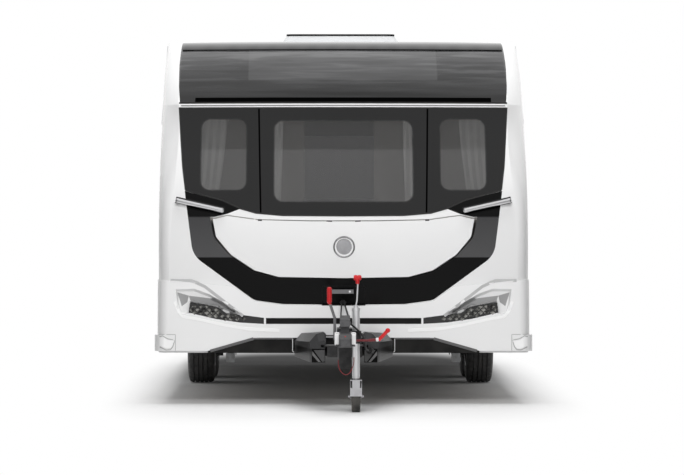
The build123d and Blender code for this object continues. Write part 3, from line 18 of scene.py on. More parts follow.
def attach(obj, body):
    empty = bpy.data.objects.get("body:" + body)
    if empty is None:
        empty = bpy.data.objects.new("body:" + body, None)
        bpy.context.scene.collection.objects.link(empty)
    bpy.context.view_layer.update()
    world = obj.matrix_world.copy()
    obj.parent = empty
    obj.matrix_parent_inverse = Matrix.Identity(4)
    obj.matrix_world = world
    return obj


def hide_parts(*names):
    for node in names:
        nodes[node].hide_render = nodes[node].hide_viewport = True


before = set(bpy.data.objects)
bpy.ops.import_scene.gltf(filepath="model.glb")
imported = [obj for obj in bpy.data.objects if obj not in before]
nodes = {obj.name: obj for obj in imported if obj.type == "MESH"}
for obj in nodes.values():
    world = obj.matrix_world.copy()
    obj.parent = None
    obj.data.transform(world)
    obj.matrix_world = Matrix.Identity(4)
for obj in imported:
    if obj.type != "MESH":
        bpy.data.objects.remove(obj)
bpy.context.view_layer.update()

# %% [markdown]
# ## The camera
# A long lens far away gives the flat front view of a catalogue picture. The camera stands 24 m in
# front of the bumper at chest height, a little left of the centre line, and turns slightly
# right and down, so that the picture's frame sits round the caravan as it should.

# %% Camera
PICTURE_WIDTH = 684
FOCAL_PIXELS = 3672
SENSOR_WIDTH = 36.0
CAMERA_PLACE = (-0.186, -26.625, 1.23)
CAMERA_TURN_RIGHT = math.radians(0.418)
CAMERA_TILT_DOWN = math.radians(0.329)


def add_object(name, data):
    """An object for some data, linked into the scene."""
    made = bpy.data.objects.new(name, data)
    bpy.context.scene.collection.objects.link(made)
    return made


camera_data = bpy.data.cameras.new("camera")
camera_data.sensor_width = SENSOR_WIDTH
camera_data.lens = FOCAL_PIXELS / PICTURE_WIDTH * SENSOR_WIDTH
camera_data.clip_end = 500
camera = add_object("camera", camera_data)
camera.location = CAMERA_PLACE
camera.rotation_euler = (math.pi / 2 - CAMERA_TILT_DOWN, 0, -CAMERA_TURN_RIGHT)
bpy.context.scene.camera = camera
bpy.context.scene.view_settings.view_transform = "Standard"
print("lens", round(camera_data.lens, 1), "mm")

# %% [markdown]
# ## Small helpers for materials
# A material here is one Principled shader with a few group nodes in front of it. These helpers
# make a node, join sockets and set plain numbers, so that each recipe reads as a short list. A
# socket knows the tree that it belongs to, so most of them need no tree.

# %% Node helpers
def place(tree, kind, inputs=None, **settings):
    """Adds a node and sets its properties and its numbered or named inputs."""
    node = tree.nodes.new(kind)
    for key, value in settings.items():
        setattr(node, key, value)
    for socket, value in (inputs or {}).items():
        node.inputs[socket].default_value = value
    return node


def join(source, target):
    """Links an output socket to an input socket of the same tree."""
    target.id_data.links.new(source, target)


def feed(socket, value):
    """Gives an input socket a link or a plain value."""
    if hasattr(value, "id_data"):
        join(value, socket)
    elif value is not None:
        socket.default_value = value


def sums(operation, first, second=None, clamp=False):
    """A Math node whose inputs are sockets or numbers; gives its output."""
    tree = next(value.id_data for value in (first, second) if hasattr(value, "id_data"))
    node = place(tree, "ShaderNodeMath", operation=operation, use_clamp=clamp)
    feed(node.inputs[0], first)
    feed(node.inputs[1], second)
    return node.outputs[0]


times, plus, minus, over = (partial(sums, operation)
                            for operation in ("MULTIPLY", "ADD", "SUBTRACT", "DIVIDE"))


def blend_colour(factor, first, second):
    """Mixes two colours, each a socket or three numbers, by a mask."""
    node = place(factor.id_data, "ShaderNodeMix", data_type="RGBA")
    join(factor, node.inputs[0])
    for index, value in ((6, first), (7, second)):
        feed(node.inputs[index], value if hasattr(value, "id_data") else (*value, 1))
    return node.outputs[2]


def mix_shaders(factor, first, second):
    """Mixes two shaders by a mask or a number."""
    node = place(first.id_data, "ShaderNodeMixShader")
    for index, value in enumerate((factor, first, second)):
        feed(node.inputs[index], value)
    return node.outputs[0]


def ramp(value, low, high):
    """Turns a value into a soft mask: 0 at low, 1 at high. Low may be the larger number."""
    node = place(value.id_data, "ShaderNodeMapRange", {1: low, 2: high},
                 interpolation_type="SMOOTHSTEP", clamp=True)
    join(value, node.inputs[0])
    return node.outputs[0]


def object_point(tree):
    """The surface point in the caravan's own coordinates."""
    return place(tree, "ShaderNodeTexCoord").outputs["Object"]


def object_axes(tree):
    """The separate coordinates of the surface point."""
    split = place(tree, "ShaderNodeSeparateXYZ")
    join(object_point(tree), split.inputs[0])
    return split.outputs


def stretched_point(tree, factors):
    """The surface point with each axis multiplied, which draws a pattern out."""
    node = place(tree, "ShaderNodeVectorMath", operation="MULTIPLY")
    join(object_point(tree), node.inputs[0])
    feed(node.inputs[1], factors)
    return node.outputs[0]


def group(name, inputs, outputs):
    """An empty node group with named sockets; gives the tree, what it takes and what it gives."""
    tree = bpy.data.node_groups.new(name, "ShaderNodeTree")
    for label, kind, start in inputs:
        socket = tree.interface.new_socket(label, in_out="INPUT", socket_type=kind)
        socket.default_value = start
    for label, kind in outputs:
        tree.interface.new_socket(label, in_out="OUTPUT", socket_type=kind)
    start_node, end_node = tree.nodes.new("NodeGroupInput"), tree.nodes.new("NodeGroupOutput")
    return tree, start_node.outputs, end_node.inputs


COLOUR, FLOAT, VECTOR = "NodeSocketColor", "NodeSocketFloat", "NodeSocketVector"

# %% [markdown]
# ## Effects that many finishes share
# Three effects turn up all over a vehicle. The *skin* gives a surface slow patches of a second
# shade, a fine grain for the bump, and the dull film that the road throws up near the ground.
# The *window mask* is a rectangle with round corners, for the clear part of a printed pane. The
# *weave* is the crossing threads of upholstery cloth. Each is a group, made once.

# %% Skin group
PATCH_EDGES = (0.35, 0.65)
FILM_EDGES = (0.2, 0.7)
FILM_ROUGHENS = 0.4
GRAIN_ROUGHENS = 0.06
skin, taken, given = group(
    "surface_skin",
    [("Colour", COLOUR, (0.8, 0.8, 0.8, 1)), ("Second", COLOUR, (0.7, 0.7, 0.7, 1)),
     ("Patch scale", FLOAT, 3.0), ("Patch amount", FLOAT, 0.5), ("Roughness", FLOAT, 0.3),
     ("Grain scale", FLOAT, 200.0), ("Grain height", FLOAT, 0.3),
     ("Film colour", COLOUR, (0.3, 0.28, 0.25, 1)), ("Film top", FLOAT, 0.7),
     ("Film amount", FLOAT, 0.2), ("Stretch", VECTOR, (1, 1, 1))],
    [("Colour", COLOUR), ("Roughness", FLOAT), ("Height", FLOAT)])
noises = []
for scale, detail in (("Patch scale", 3.0), ("Grain scale", 2.0)):
    noise = place(skin, "ShaderNodeTexNoise", {"Detail": detail})
    join(stretched_point(skin, taken["Stretch"]), noise.inputs["Vector"])
    join(taken[scale], noise.inputs["Scale"])
    noises.append(noise.outputs["Fac"])
patches, grain = noises
patch_mask = times(ramp(patches, *PATCH_EDGES), taken["Patch amount"])
below = minus(1.0, over(object_axes(skin)["Z"], taken["Film top"], clamp=True))
film_mask = times(times(below, taken["Film amount"]), ramp(patches, *FILM_EDGES), clamp=True)
patched = blend_colour(patch_mask, taken["Colour"], taken["Second"])
join(blend_colour(film_mask, patched, taken["Film colour"]), given["Colour"])
rougher = plus(taken["Roughness"], times(film_mask, FILM_ROUGHENS))
uneven = times(minus(grain, 0.5), GRAIN_ROUGHENS)
join(plus(rougher, uneven, clamp=True), given["Roughness"])
join(times(grain, taken["Grain height"]), given["Height"])
print("skin group has", len(skin.nodes), "nodes")

# %% Window mask group
MASK_LABELS = ("Middle X", "Middle Z", "Half width", "Half height", "Corner", "Softness")
MASK_STARTS = (0.0, 1.6, 0.4, 0.25, 0.06, 0.004)
pane_mask, taken, given = group(
    "window_mask",
    [(label, FLOAT, start) for label, start in zip(MASK_LABELS, MASK_STARTS)],
    [("Mask", FLOAT)])
mask_axes = object_axes(pane_mask)
squares = []
for position, middle, half in ((sums("ABSOLUTE", mask_axes["X"]), "Middle X", "Half width"),
                               (mask_axes["Z"], "Middle Z", "Half height")):
    distance = sums("ABSOLUTE", minus(position, taken[middle]))
    straight = minus(taken[half], taken["Corner"])
    squares.append(sums("POWER", sums("MAXIMUM", minus(distance, straight), 0.0), 2.0))
outside = minus(sums("SQRT", plus(*squares)), taken["Corner"])
join(minus(0.5, over(outside, taken["Softness"]), clamp=True), given["Mask"])
print("window mask group has", len(pane_mask.nodes), "nodes")

# %% Weave group
weave, taken, given = group(
    "cloth_weave", [("Threads per metre", FLOAT, 600.0), ("Contrast", FLOAT, 0.3)],
    [("Mask", FLOAT), ("Height", FLOAT)])
crossings = []
for direction in ("DIAGONAL", "Z"):
    threads = place(weave, "ShaderNodeTexWave", {"Distortion": 0.6, "Detail": 1.0},
                    bands_direction=direction)
    join(object_point(weave), threads.inputs["Vector"])
    join(taken["Threads per metre"], threads.inputs["Scale"])
    crossings.append(threads.outputs["Fac"])
crossed = times(*crossings)
join(crossed, given["Height"])
join(times(crossed, taken["Contrast"], clamp=True), given["Mask"])
print("weave group has", len(weave.nodes), "nodes")

# %% [markdown]
# ## Finishes
# A finish is a Principled shader fed by the skin group. Its metal, gloss, coat and other plain
# numbers are set on the shader itself. The white is a sprayed gelcoat: a clear coat over a warm
# white, with hardly any grain. The darks are gloss acrylic and moulded plastic. The metals are
# zinc, bright steel and cast aluminium, and they differ in roughness and in the size of grain.
# The frame has plain materials of its own, so the finishes made here are kept in `looks`.

# %% Material recipe
SKIN_LABELS = ("Colour", "Second", "Patch scale", "Patch amount", "Roughness", "Grain scale",
               "Grain height", "Film colour", "Film top", "Film amount", "Stretch")
ROAD_FILM = (0.30, 0.28, 0.25)
SECOND_SHARE = 0.9
RELIEF_DEPTH = 0.002
looks = {}


def grey(level, blue=0.0):
    """A grey, with a little more blue where that is given."""
    return (level, level, level + blue)


def finish(name, colour, second, rough, metal, patch, grain_size, film, bump,
           film_colour=ROAD_FILM, stretch=(1, 1, 1), **plain):
    """A material whose skin gives colour, roughness and bump; plain holds shader settings."""
    material = bpy.data.materials.new(name)
    material.use_nodes = True
    tree = material.node_tree
    shader = tree.nodes["Principled BSDF"]
    second = second or tuple(SECOND_SHARE * value for value in colour)
    values = ((*colour, 1), (*second, 1), *patch, rough, *grain_size, (*film_colour, 1), *film,
              stretch)
    texture = place(tree, "ShaderNodeGroup", node_tree=skin, name="skin")
    for label, value in zip(SKIN_LABELS, values):
        texture.inputs[label].default_value = value
    relief = place(tree, "ShaderNodeBump", {"Strength": bump, "Distance": RELIEF_DEPTH},
                   name="relief")
    join(texture.outputs["Colour"], shader.inputs["Base Color"])
    join(texture.outputs["Roughness"], shader.inputs["Roughness"])
    join(texture.outputs["Height"], relief.inputs["Height"])
    join(relief.outputs["Normal"], shader.inputs["Normal"])
    for label, value in {"Metallic": metal, **plain}.items():
        shader.inputs[label.replace("_", " ")].default_value = value
    looks[name] = material
    return material


def skin_colour(tree):
    """The colour that the skin gives, before anything is mixed over it."""
    return tree.nodes["skin"].outputs["Colour"]


def set_colour(colour):
    """Sends a mixed colour to the shader of its tree."""
    join(colour, colour.id_data.nodes["Principled BSDF"].inputs["Base Color"])


# %% Table of finishes
FINE = (220.0, 0.3)
DRAWN = (6, 6, 0.4)
FINISHES = (
    # name, colour, second shade, roughness, metal,
    # (patch scale, amount), (grain scale, height), (film top, amount), bump, more settings
    ("white_gelcoat", grey(0.86), grey(0.83, 0.005), 0.22, 0.0,
     (0.8, 0.5), (90.0, 0.4), (0.62, 0.10), 0.02, {"Coat_Weight": 0.35, "Coat_Roughness": 0.06}),
    ("white_sheet", grey(0.79), grey(0.76, 0.005), 0.30, 0.0,
     (0.6, 0.5), (60.0, 0.8), (0.65, 0.16), 0.03, {}),
    # A brighter white: the corner lenses' own colour, and a painted highlight on the raised lamp
    # rims.
    ("rim_white", grey(0.95), grey(0.92), 0.15, 0.0,
     (2.0, 0.4), FINE, (0.3, 0.02), 0.01, {"Coat_Weight": 0.5}),
    ("white_acrylic", (0.66, 0.67, 0.68), (0.60, 0.61, 0.62), 0.16, 0.0,
     (4.0, 0.5), (80.0, 0.3), (0.1, 0.0), 0.02, {"Alpha": 0.93}),
    ("pale_plastic", grey(0.76), grey(0.64), 0.35, 0.0,
     (20.0, 0.5), (500.0, 0.5), (0.5, 0.2), 0.05, {}),
    ("gloss_black", grey(0.006, 0.0005), grey(0.012), 0.12, 0.0,
     (5.0, 0.4), FINE, (0.5, 0.05), 0.015, {}),
    ("dark_trim", grey(0.0012, 0.0001), grey(0.0024, 0.0001), 0.14, 0.0,
     (1.5, 0.5), FINE, (0.4, 0.05), 0.01, {"Specular_IOR_Level": 0.12}),
    ("black_plastic", grey(0.004, 0.0002), grey(0.008, 0.0002), 0.42, 0.0,
     (6.0, 0.5), (900.0, 0.6), (0.6, 0.1), 0.10, {"Specular_IOR_Level": 0.16}),
    # Matt black for seals and joints, and as painted shade for the slot under the overhead window.
    ("slot_black", grey(0.0015), None, 0.8, 0.0,
     (3.0, 0.4), FINE, (0.1, 0.0), 0.05, {"Specular_IOR_Level": 0.0}),
    ("black_rubber", grey(0.014), (0.024, 0.023, 0.022), 0.62, 0.0,
     (9.0, 0.6), (700.0, 0.6), (0.5, 0.25), 0.12, {}),
    ("tyre_rubber", grey(0.038), (0.055, 0.054, 0.053), 0.68, 0.0,
     (10.0, 0.6), (600.0, 0.8), (0.5, 0.2), 0.15, {"film_colour": (0.10, 0.095, 0.09)}),
    ("cable_sheath", grey(0.006, 0.0005), grey(0.012, 0.0005), 0.45, 0.0,
     (40.0, 0.5), (900.0, 0.5), (0.5, 0.1), 0.05, {}),
    ("red_wire", (0.20, 0.008, 0.012), (0.13, 0.006, 0.008), 0.40, 0.0,
     (60.0, 0.5), (900.0, 0.5), (0.3, 0.1), 0.05, {}),
    ("red_plastic", (0.56, 0.008, 0.012), (0.42, 0.006, 0.009), 0.30, 0.0,
     (24.0, 0.5), (500.0, 0.5), (0.5, 0.15), 0.05, {}),
    ("lamp_red", (0.42, 0.010, 0.012), (0.30, 0.006, 0.008), 0.12, 0.0,
     (30.0, 0.4), (120.0, 0.9), (0.2, 0.0), 0.25, {"Coat_Weight": 0.6}),
    ("galvanised_steel", (0.20, 0.205, 0.21), (0.12, 0.125, 0.13), 0.42, 0.8,
     (38.0, 0.8), (400.0, 0.5), (0.6, 0.35), 0.08, {}),
    ("bright_steel", grey(0.66, 0.01), grey(0.52, 0.01), 0.14, 1.0,
     (20.0, 0.5), (350.0, 0.5), (0.3, 0.10), 0.03, {"stretch": DRAWN}),
    ("jockey_steel", grey(0.70, 0.01), grey(0.58, 0.01), 0.30, 0.45,
     (20.0, 0.5), (350.0, 0.5), (0.3, 0.10), 0.03, {"stretch": DRAWN}),
    ("polished_trim", grey(0.72, 0.01), grey(0.64, 0.01), 0.08, 1.0,
     (8.0, 0.4), FINE, (0.3, 0.05), 0.01, {}),
    ("satin_strip", grey(0.24, 0.005), grey(0.19, 0.005), 0.25, 0.9,
     (6.0, 0.5), FINE, (0.3, 0.05), 0.01, {}),
    ("badge_silver", grey(0.40, 0.01), grey(0.28, 0.01), 0.25, 0.7,
     (30.0, 0.6), FINE, (0.1, 0.0), 0.03, {}),
    ("lamp_reflector", (0.36, 0.355, 0.335), (0.020, 0.020, 0.019), 0.20, 0.6,
     (34.0, 1.0), FINE, (0.2, 0.0), 0.03, {}),
    ("cast_grey", grey(0.040, 0.002), grey(0.075, 0.003), 0.40, 0.1,
     (25.0, 0.7), (500.0, 0.8), (0.5, 0.2), 0.12, {}),
    ("painted_steel", grey(0.020, 0.001), grey(0.034, 0.001), 0.40, 0.2,
     (25.0, 0.7), (500.0, 0.8), (0.5, 0.1), 0.10, {"Specular_IOR_Level": 0.3}),
    ("wheel_alloy", grey(0.50, 0.02), grey(0.40, 0.02), 0.30, 0.9,
     (12.0, 0.5), (600.0, 0.4), (0.7, 0.30), 0.03, {}),
    ("satin_aluminium", grey(0.62, 0.01), grey(0.54, 0.01), 0.32, 0.9,
     (10.0, 0.4), (300.0, 0.4), (0.5, 0.1), 0.03, {"stretch": (1, 0.1, 4)}),
    ("seam_grey", grey(0.40, 0.002), grey(0.34, 0.002), 0.5, 0.0,
     (3.0, 0.4), FINE, (0.5, 0.2), 0.05, {}),
    # Painted shade in the scoop above each lamp and along its fold.
    ("scoop_grey", grey(0.37, 0.002), grey(0.30, 0.002), 0.30, 0.0,
     (5.0, 0.6), FINE, (0.4, 0.05), 0.02, {}),
    ("fold_grey", grey(0.50, 0.002), grey(0.45, 0.002), 0.30, 0.0,
     (4.0, 0.5), FINE, (0.4, 0.05), 0.02, {}),
    # Painted highlight on the skirt's facets and on the hitch cover's outer wedge.
    ("skirt_grey", grey(0.11, 0.003), grey(0.08, 0.002), 0.35, 0.0,
     (6.0, 0.5), FINE, (0.6, 0.2), 0.05, {}),
    # Painted light on the hitch cover's inner wedge.
    ("wedge_grey", grey(0.045, 0.001), grey(0.028, 0.001), 0.35, 0.0,
     (18.0, 0.6), FINE, (0.5, 0.1), 0.06, {}),
    ("light_board", (0.43, 0.42, 0.405), (0.36, 0.35, 0.335), 0.45, 0.0,
     (7.0, 0.8), (90.0, 0.8), (0.1, 0.0), 0.06, {"stretch": (1, 1, 0.12)}),
    ("floor_vinyl", (0.30, 0.27, 0.23), (0.22, 0.19, 0.16), 0.45, 0.0,
     (4.0, 0.8), (150.0, 0.5), (0.44, 0.6), 0.06, {"stretch": (6, 0.6, 1)}),
    ("front_acrylic", grey(0.003, 0.0002), grey(0.005, 0.0002), 0.05, 0.0,
     (2.0, 0.5), FINE, (0.1, 0.0), 0.006, {"Specular_IOR_Level": 0.36}),
    # Its second shade, drawn out into long level streaks, is painted reflection.
    ("overhead_acrylic", grey(0.002), grey(0.016, 0.0005), 0.10, 0.0,
     (2.6, 1.0), (3.0, 0.5), (0.1, 0.0), 0.01,
     {"stretch": (0.30, 1.0, 9.0), "Specular_IOR_Level": 0.20}),
    ("side_acrylic", grey(0.012, 0.001), grey(0.016, 0.001), 0.04, 0.0,
     (2.0, 0.5), FINE, (0.1, 0.0), 0.005, {"Alpha": 0.72}),
)
for *recipe, more in FINISHES:
    finish(*recipe, **more)
for see_through in ("white_acrylic", "front_acrylic", "side_acrylic"):
    looks[see_through].blend_method = "HASHED"
print("plain finishes", len(looks))

# %% [markdown]
# ## Cables
# Three cables hang at the drawbar. The thick one is the towing cable: it leaves the body, runs
# forward over the coupling, and its plug is parked low beside the hitch cover. The second runs
# from the body down into the overrun housing. The thin red one is the breakaway wire, which
# loops under the coupling to its clip. A NURBS spline of order 3 through loose control points
# bends as a real cable does, so each route is given as points and never as rounded corners.

# %% Cable curves
TOWING_ROUTE = (
    (4, -2612, 668), (4, -2662, 668), (9, -2745, 648), (18, -2870, 616), (25, -3010, 592),
    (29, -3160, 577), (31, -3310, 568), (31, -3440, 566), (31, -3540, 566), (36, -3615, 556),
    (66, -3643, 532), (103, -3638, 496), (126, -3610, 458), (130, -3572, 423), (132, -3534, 398),
    (143, -3505, 388), (150, -3480, 385))
DRAWBAR_ROUTE = (
    (-13, -2612, 668), (-13, -2655, 668), (-15, -2735, 650), (-18, -2850, 624),
    (-20, -2960, 608), (-21, -3050, 600), (-21, -3108, 592), (-21, -3144, 578),
    (-21, -3163, 556), (-21, -3163, 530))
BREAKAWAY_ROUTE = (
    (-42, -3722, 335), (-42, -3722, 312), (-38, -3731, 282), (-20, -3736, 254),
    (4, -3738, 240), (27, -3738, 250), (43, -3737, 278), (56, -3731, 314), (56, -3731, 352))


def cable(name, route, radius, material, node):
    """A round cable as a NURBS curve through a route in millimetres."""
    data = bpy.data.curves.new(name, "CURVE")
    data.dimensions = "3D"
    spline = data.splines.new("NURBS")
    spline.points.add(len(route) - 1)
    for point, (x, y, z) in zip(spline.points, route):
        point.co = (x / 1000, y / 1000, z / 1000, 1)
    spline.order_u = 3
    spline.use_endpoint_u = True
    spline.resolution_u = 10
    data.bevel_depth = radius
    data.bevel_resolution = 5
    data.use_fill_caps = True
    data.materials.append(looks[material])
    piece = add_object(name, data)
    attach(piece, "caravan")
    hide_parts(node)
    return piece


towing = cable("towing_lead", TOWING_ROUTE, 0.006, "cable_sheath", "towing_cable")
brake_lead = cable("drawbar_lead", DRAWBAR_ROUTE, 0.005, "cable_sheath", "drawbar_cable")
breakaway = cable("breakaway_wire", BREAKAWAY_ROUTE, 0.0025, "red_wire", "breakaway_cable")

# %% [markdown]
# ## Glass
# The three front panes are tinted acrylic with a printed black border. The border is opaque and
# the middle lets the cabin show, so one material does both: a mask of round-cornered rectangles
# sets its Alpha. The lower half is painted paler, a painted sheen for the reflection of a light
# room. The big overhead window has painted reflections in its colour: a lighter top, a lighter
# middle pane and long level streaks, as its reflections stretch round the curve.

# %% Front glass
CLEAR_ZONES = ((0.0, 1.596, 0.457, 0.269, 0.06, 0.012), (0.79, 1.640, 0.150, 0.236, 0.06, 0.012))
PAINTED_SHEEN_TOP_Z = 1.672
PAINTED_SHEEN_SOFTNESS = 0.004
CLEAR_SHARE = 0.44


def masked(tree, *values):
    """Places the window mask with its six values and gives its output."""
    node = place(tree, "ShaderNodeGroup", dict(zip(MASK_LABELS, values)), node_tree=pane_mask)
    return node.outputs["Mask"]


front_tree = looks["front_acrylic"].node_tree
clear_mask = plus(*(masked(front_tree, *zone) for zone in CLEAR_ZONES), clamp=True)
# Painted sheen: below this height the panes are painted paler, the border and the clear parts
# alike.
painted_sheen = ramp(object_axes(front_tree)["Z"], PAINTED_SHEEN_TOP_Z + PAINTED_SHEEN_SOFTNESS,
             PAINTED_SHEEN_TOP_Z - PAINTED_SHEEN_SOFTNESS)
border = blend_colour(painted_sheen, skin_colour(front_tree), grey(0.005, 0.0002))
clear_haze_with_painted_sheen = blend_colour(painted_sheen, grey(0.046, 0.0005), grey(0.086, 0.001))
set_colour(blend_colour(clear_mask, border, clear_haze_with_painted_sheen))
join(minus(1.0, times(clear_mask, CLEAR_SHARE)),
     front_tree.nodes["Principled BSDF"].inputs["Alpha"])

# %% Overhead glass
VIEW_PANE = (0.0, 2.262, 0.635, 0.118, 0.01, 0.01)
sky_tree = looks["overhead_acrylic"].node_tree
# Painted reflections: the top is painted lighter, level streaks are painted lighter and darker,
# and the middle pane is painted a little lighter.
painted_top_reflection = ramp(object_axes(sky_tree)["Z"], 2.03, 2.40)
skin_with_painted_top_reflection = blend_colour(painted_top_reflection, skin_colour(sky_tree), grey(0.046, 0.002))
cloud = place(sky_tree, "ShaderNodeTexNoise", {"Scale": 2.4, "Detail": 4.0, "Distortion": 0.4})
join(stretched_point(sky_tree, (0.9, 0.6, 14.0)), cloud.inputs["Vector"])
painted_bright_streaks = times(ramp(cloud.outputs["Fac"], 0.47, 0.66), 0.8)
painted_dark_streaks = times(ramp(cloud.outputs["Fac"], 0.48, 0.30), 0.6)
with_painted_bright_streaks = blend_colour(times(painted_bright_streaks, painted_top_reflection), skin_with_painted_top_reflection, grey(0.105, 0.002))
with_painted_streaks = blend_colour(painted_dark_streaks, with_painted_bright_streaks, grey(0.006))
painted_pane_lift = times(masked(sky_tree, *VIEW_PANE), 0.16)
set_colour(blend_colour(painted_pane_lift, with_painted_streaks, grey(0.17, 0.002)))

# %% [markdown]
# ## The dark curved trim
# The trim that sweeps round the gas locker lid is one gloss moulding, but its legs above the bend
# turn to the sky and look grey, while the part below the bend looks almost black. That grey is a
# painted reflection of the sky: two shades with a crisp edge between them keep it in any light,
# and the grey grows a little lighter towards the bend. A low specular level holds the black down.

# %% Trim finish
TRIM_BEND_Z = 0.962
POD_Z = 1.226
trim_tree = looks["dark_trim"].node_tree
trim_z = object_axes(trim_tree)["Z"]
# Painted reflection of the sky: the trim above the bend is painted grey, a little lighter towards
# the bend.
painted_reflection_legs = times(ramp(trim_z, TRIM_BEND_Z - 0.004, TRIM_BEND_Z + 0.004),
             ramp(trim_z, POD_Z + 0.006, POD_Z - 0.006))
painted_sky_reflection = blend_colour(ramp(trim_z, 1.25, 0.90), grey(0.062, 0.002), grey(0.085, 0.002))
set_colour(blend_colour(painted_reflection_legs, skin_colour(trim_tree), painted_sky_reflection))

# %% Rear lamp finish
lamp_tree = looks["lamp_red"].node_tree
lamp_z = object_axes(lamp_tree)["Z"]
amber = times(ramp(lamp_z, 0.885, 0.889), ramp(lamp_z, 1.2, 1.1))
tinted = blend_colour(amber, skin_colour(lamp_tree), (0.70, 0.24, 0.01))
set_colour(blend_colour(ramp(lamp_z, 0.765, 0.761), tinted, grey(0.60, 0.02)))

# %% [markdown]
# ## Dress the CAD nodes
# A CAD node whose shape is right keeps it and only takes a better material. The two levers, the
# grab bars and the hitch cover carry two shades: the levers two colours, the grab bar in the
# handle recess painted shade and the cover's top a painted highlight. So they get a recipe of
# their own, which changes from one colour to the other at a place along an axis.

# %% Two-part finish
EDGE_SOFTNESS = 0.0008


def two_part(name, low, high, axis, change, **plain):
    """A material that changes from one colour to another at a place along an axis."""
    material = finish(name, low, None, 0.30, 0.0, (24.0, 0.5), (500.0, 0.5), (0.4, 0.08), 0.04,
                      **plain)
    tree = material.node_tree
    edge = ramp(object_axes(tree)[axis], change - EDGE_SOFTNESS, change + EDGE_SOFTNESS)
    set_colour(blend_colour(edge, skin_colour(tree), high))


LEVER_RED = (0.56, 0.008, 0.012)
two_part("brake_lever", grey(0.17, 0.005), LEVER_RED, "Z", 0.672)
two_part("stabiliser_lever", (0.13, 0.006, 0.010), LEVER_RED, "X", 0.196)
# Painted shade: the bar in the handle recess, below z 1, is painted darker than the bars above.
two_part("grab_trim", grey(0.20, 0.005), grey(0.72, 0.01), "Z", 1.0, Metallic=1.0)
# Painted highlight: the black cover is painted grey above z 0.392, the light on its upper facets.
two_part("cover_plastic", grey(0.0015, 0.0001), grey(0.046, 0.001), "Z", 0.392,
         Specular_IOR_Level=0.05)

# %% Which node wears what
DRESS = {
    "white_gelcoat": "front_moulding gas_locker_lid front_bumper rear_panel rear_bumper",
    "white_sheet": "side_wall_left side_wall_right side_skirts service_door cassette_door "
                   "entrance_door roof_panel",
    "overhead_acrylic": "overhead_panel",
    "front_acrylic": "front_windows",
    "side_acrylic": "cabin_windows door_window",
    "dark_trim": "front_trim",
    "gloss_black": "front_lamps",
    "black_plastic": "bumper_strip wheel_boxes",
    "cover_plastic": "hitch_cover",
    "black_rubber": "jockey_wheel",
    "painted_steel": "a_frame jockey_clamp",
    "galvanised_steel": "chassis_rails axles steady_front_left steady_front_right "
                        "steady_rear_left steady_rear_right",
    "jockey_steel": "jockey_tube",
    "wheel_alloy": "jockey_fork rim_front_left rim_front_right rim_rear_left rim_rear_right",
    "bright_steel": "breakaway_clip",
    "grab_trim": "grab_handles",
    "cast_grey": "coupling_head",
    "light_board": "interior_furniture gas_locker_box",
    "floor_vinyl": "floor_panel",
    "white_acrylic": "roof_fittings",
    "satin_aluminium": "awning_rails",
    "lamp_red": "rear_lamps",
    "cable_sheath": "towing_plug",
    "brake_lever": "handbrake_lever",
    "stabiliser_lever": "stabiliser_lever",
}


def dress(node, material):
    """Gives a CAD node one material."""
    nodes[node].data.materials.clear()
    nodes[node].data.materials.append(looks[material])


for material_name, wearers in DRESS.items():
    for wearer in wearers.split():
        dress(wearer, material_name)
print("dressed", sum(len(wearers.split()) for wearers in DRESS.values()), "nodes")

# %% [markdown]
# ## Helpers for new pieces
# Most small pieces are one of three kinds: something turned on an axis, such as a grip or a bolt;
# a plate cut to an outline; or a strip of trim that lies on the curved front. For the last, a ray
# is shot at the CAD front, so that the strip follows its curve exactly.

# %% Mesh helper
def mesh_piece(name, points, faces, material, body="caravan", bevel=0.0, sharp=35.0):
    """A mesh object from points and faces, with clean normals, riding on a body."""
    data = bpy.data.meshes.new(name)
    data.from_pydata([tuple(point) for point in points], [], faces)
    shape = bmesh.new()
    shape.from_mesh(data)
    bmesh.ops.remove_doubles(shape, verts=shape.verts, dist=1e-6)
    bmesh.ops.recalc_face_normals(shape, faces=shape.faces)
    shape.to_mesh(data)
    shape.free()
    data.shade_smooth()
    data.set_sharp_from_angle(angle=math.radians(sharp))
    data.materials.append(looks[material])
    piece = add_object(name, data)
    if bevel:
        rounding = piece.modifiers.new("rounding", "BEVEL")
        rounding.width = bevel
        rounding.segments = 2
        rounding.limit_method = "ANGLE"
        rounding.harden_normals = True
    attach(piece, body)
    return piece


# %% Faces and turned pieces
def ring_faces(rings, count, closed=True):
    """Quads from each ring of points to the next, and from the last to the first if closed."""
    return [(ring * count + index, ring * count + (index + 1) % count,
             (ring + 1) % rings * count + (index + 1) % count, (ring + 1) % rings * count + index)
            for ring in range(rings if closed else rings - 1) for index in range(count)]


def grid_faces(rows, columns, base=0):
    """Quads of a grid of points, row by row from a first point."""
    wide = columns + 1
    return [(a, a + 1, a + wide + 1, a + wide) for row in range(rows)
            for a in range(base + row * wide, base + row * wide + columns)]


def turned(outline, origin, axis, segments=32):
    """Points and faces of a closed outline of (radius, distance) turned round an axis."""
    forward = Vector(axis).normalized()
    aside = forward.orthogonal().normalized()
    upward = forward.cross(aside)
    points = []
    for step in range(segments):
        angle = 2 * math.pi * step / segments
        spoke = aside * math.cos(angle) + upward * math.sin(angle)
        points += [Vector(origin) + forward * along + spoke * radius
                   for radius, along in outline]
    return points, ring_faces(segments, len(outline))


def gather(parts):
    """Joins several (points, faces) pairs into one."""
    points, faces = [], []
    for more_points, more_faces in parts:
        base = len(points)
        points += list(more_points)
        faces += [tuple(index + base for index in face) for face in more_faces]
    return points, faces


def both(part):
    """A part and its mirror image across the centre line as one."""
    points, faces = part
    mirrored = [(-p[0], p[1], p[2]) for p in points], [tuple(reversed(face)) for face in faces]
    return gather([part, mirrored])


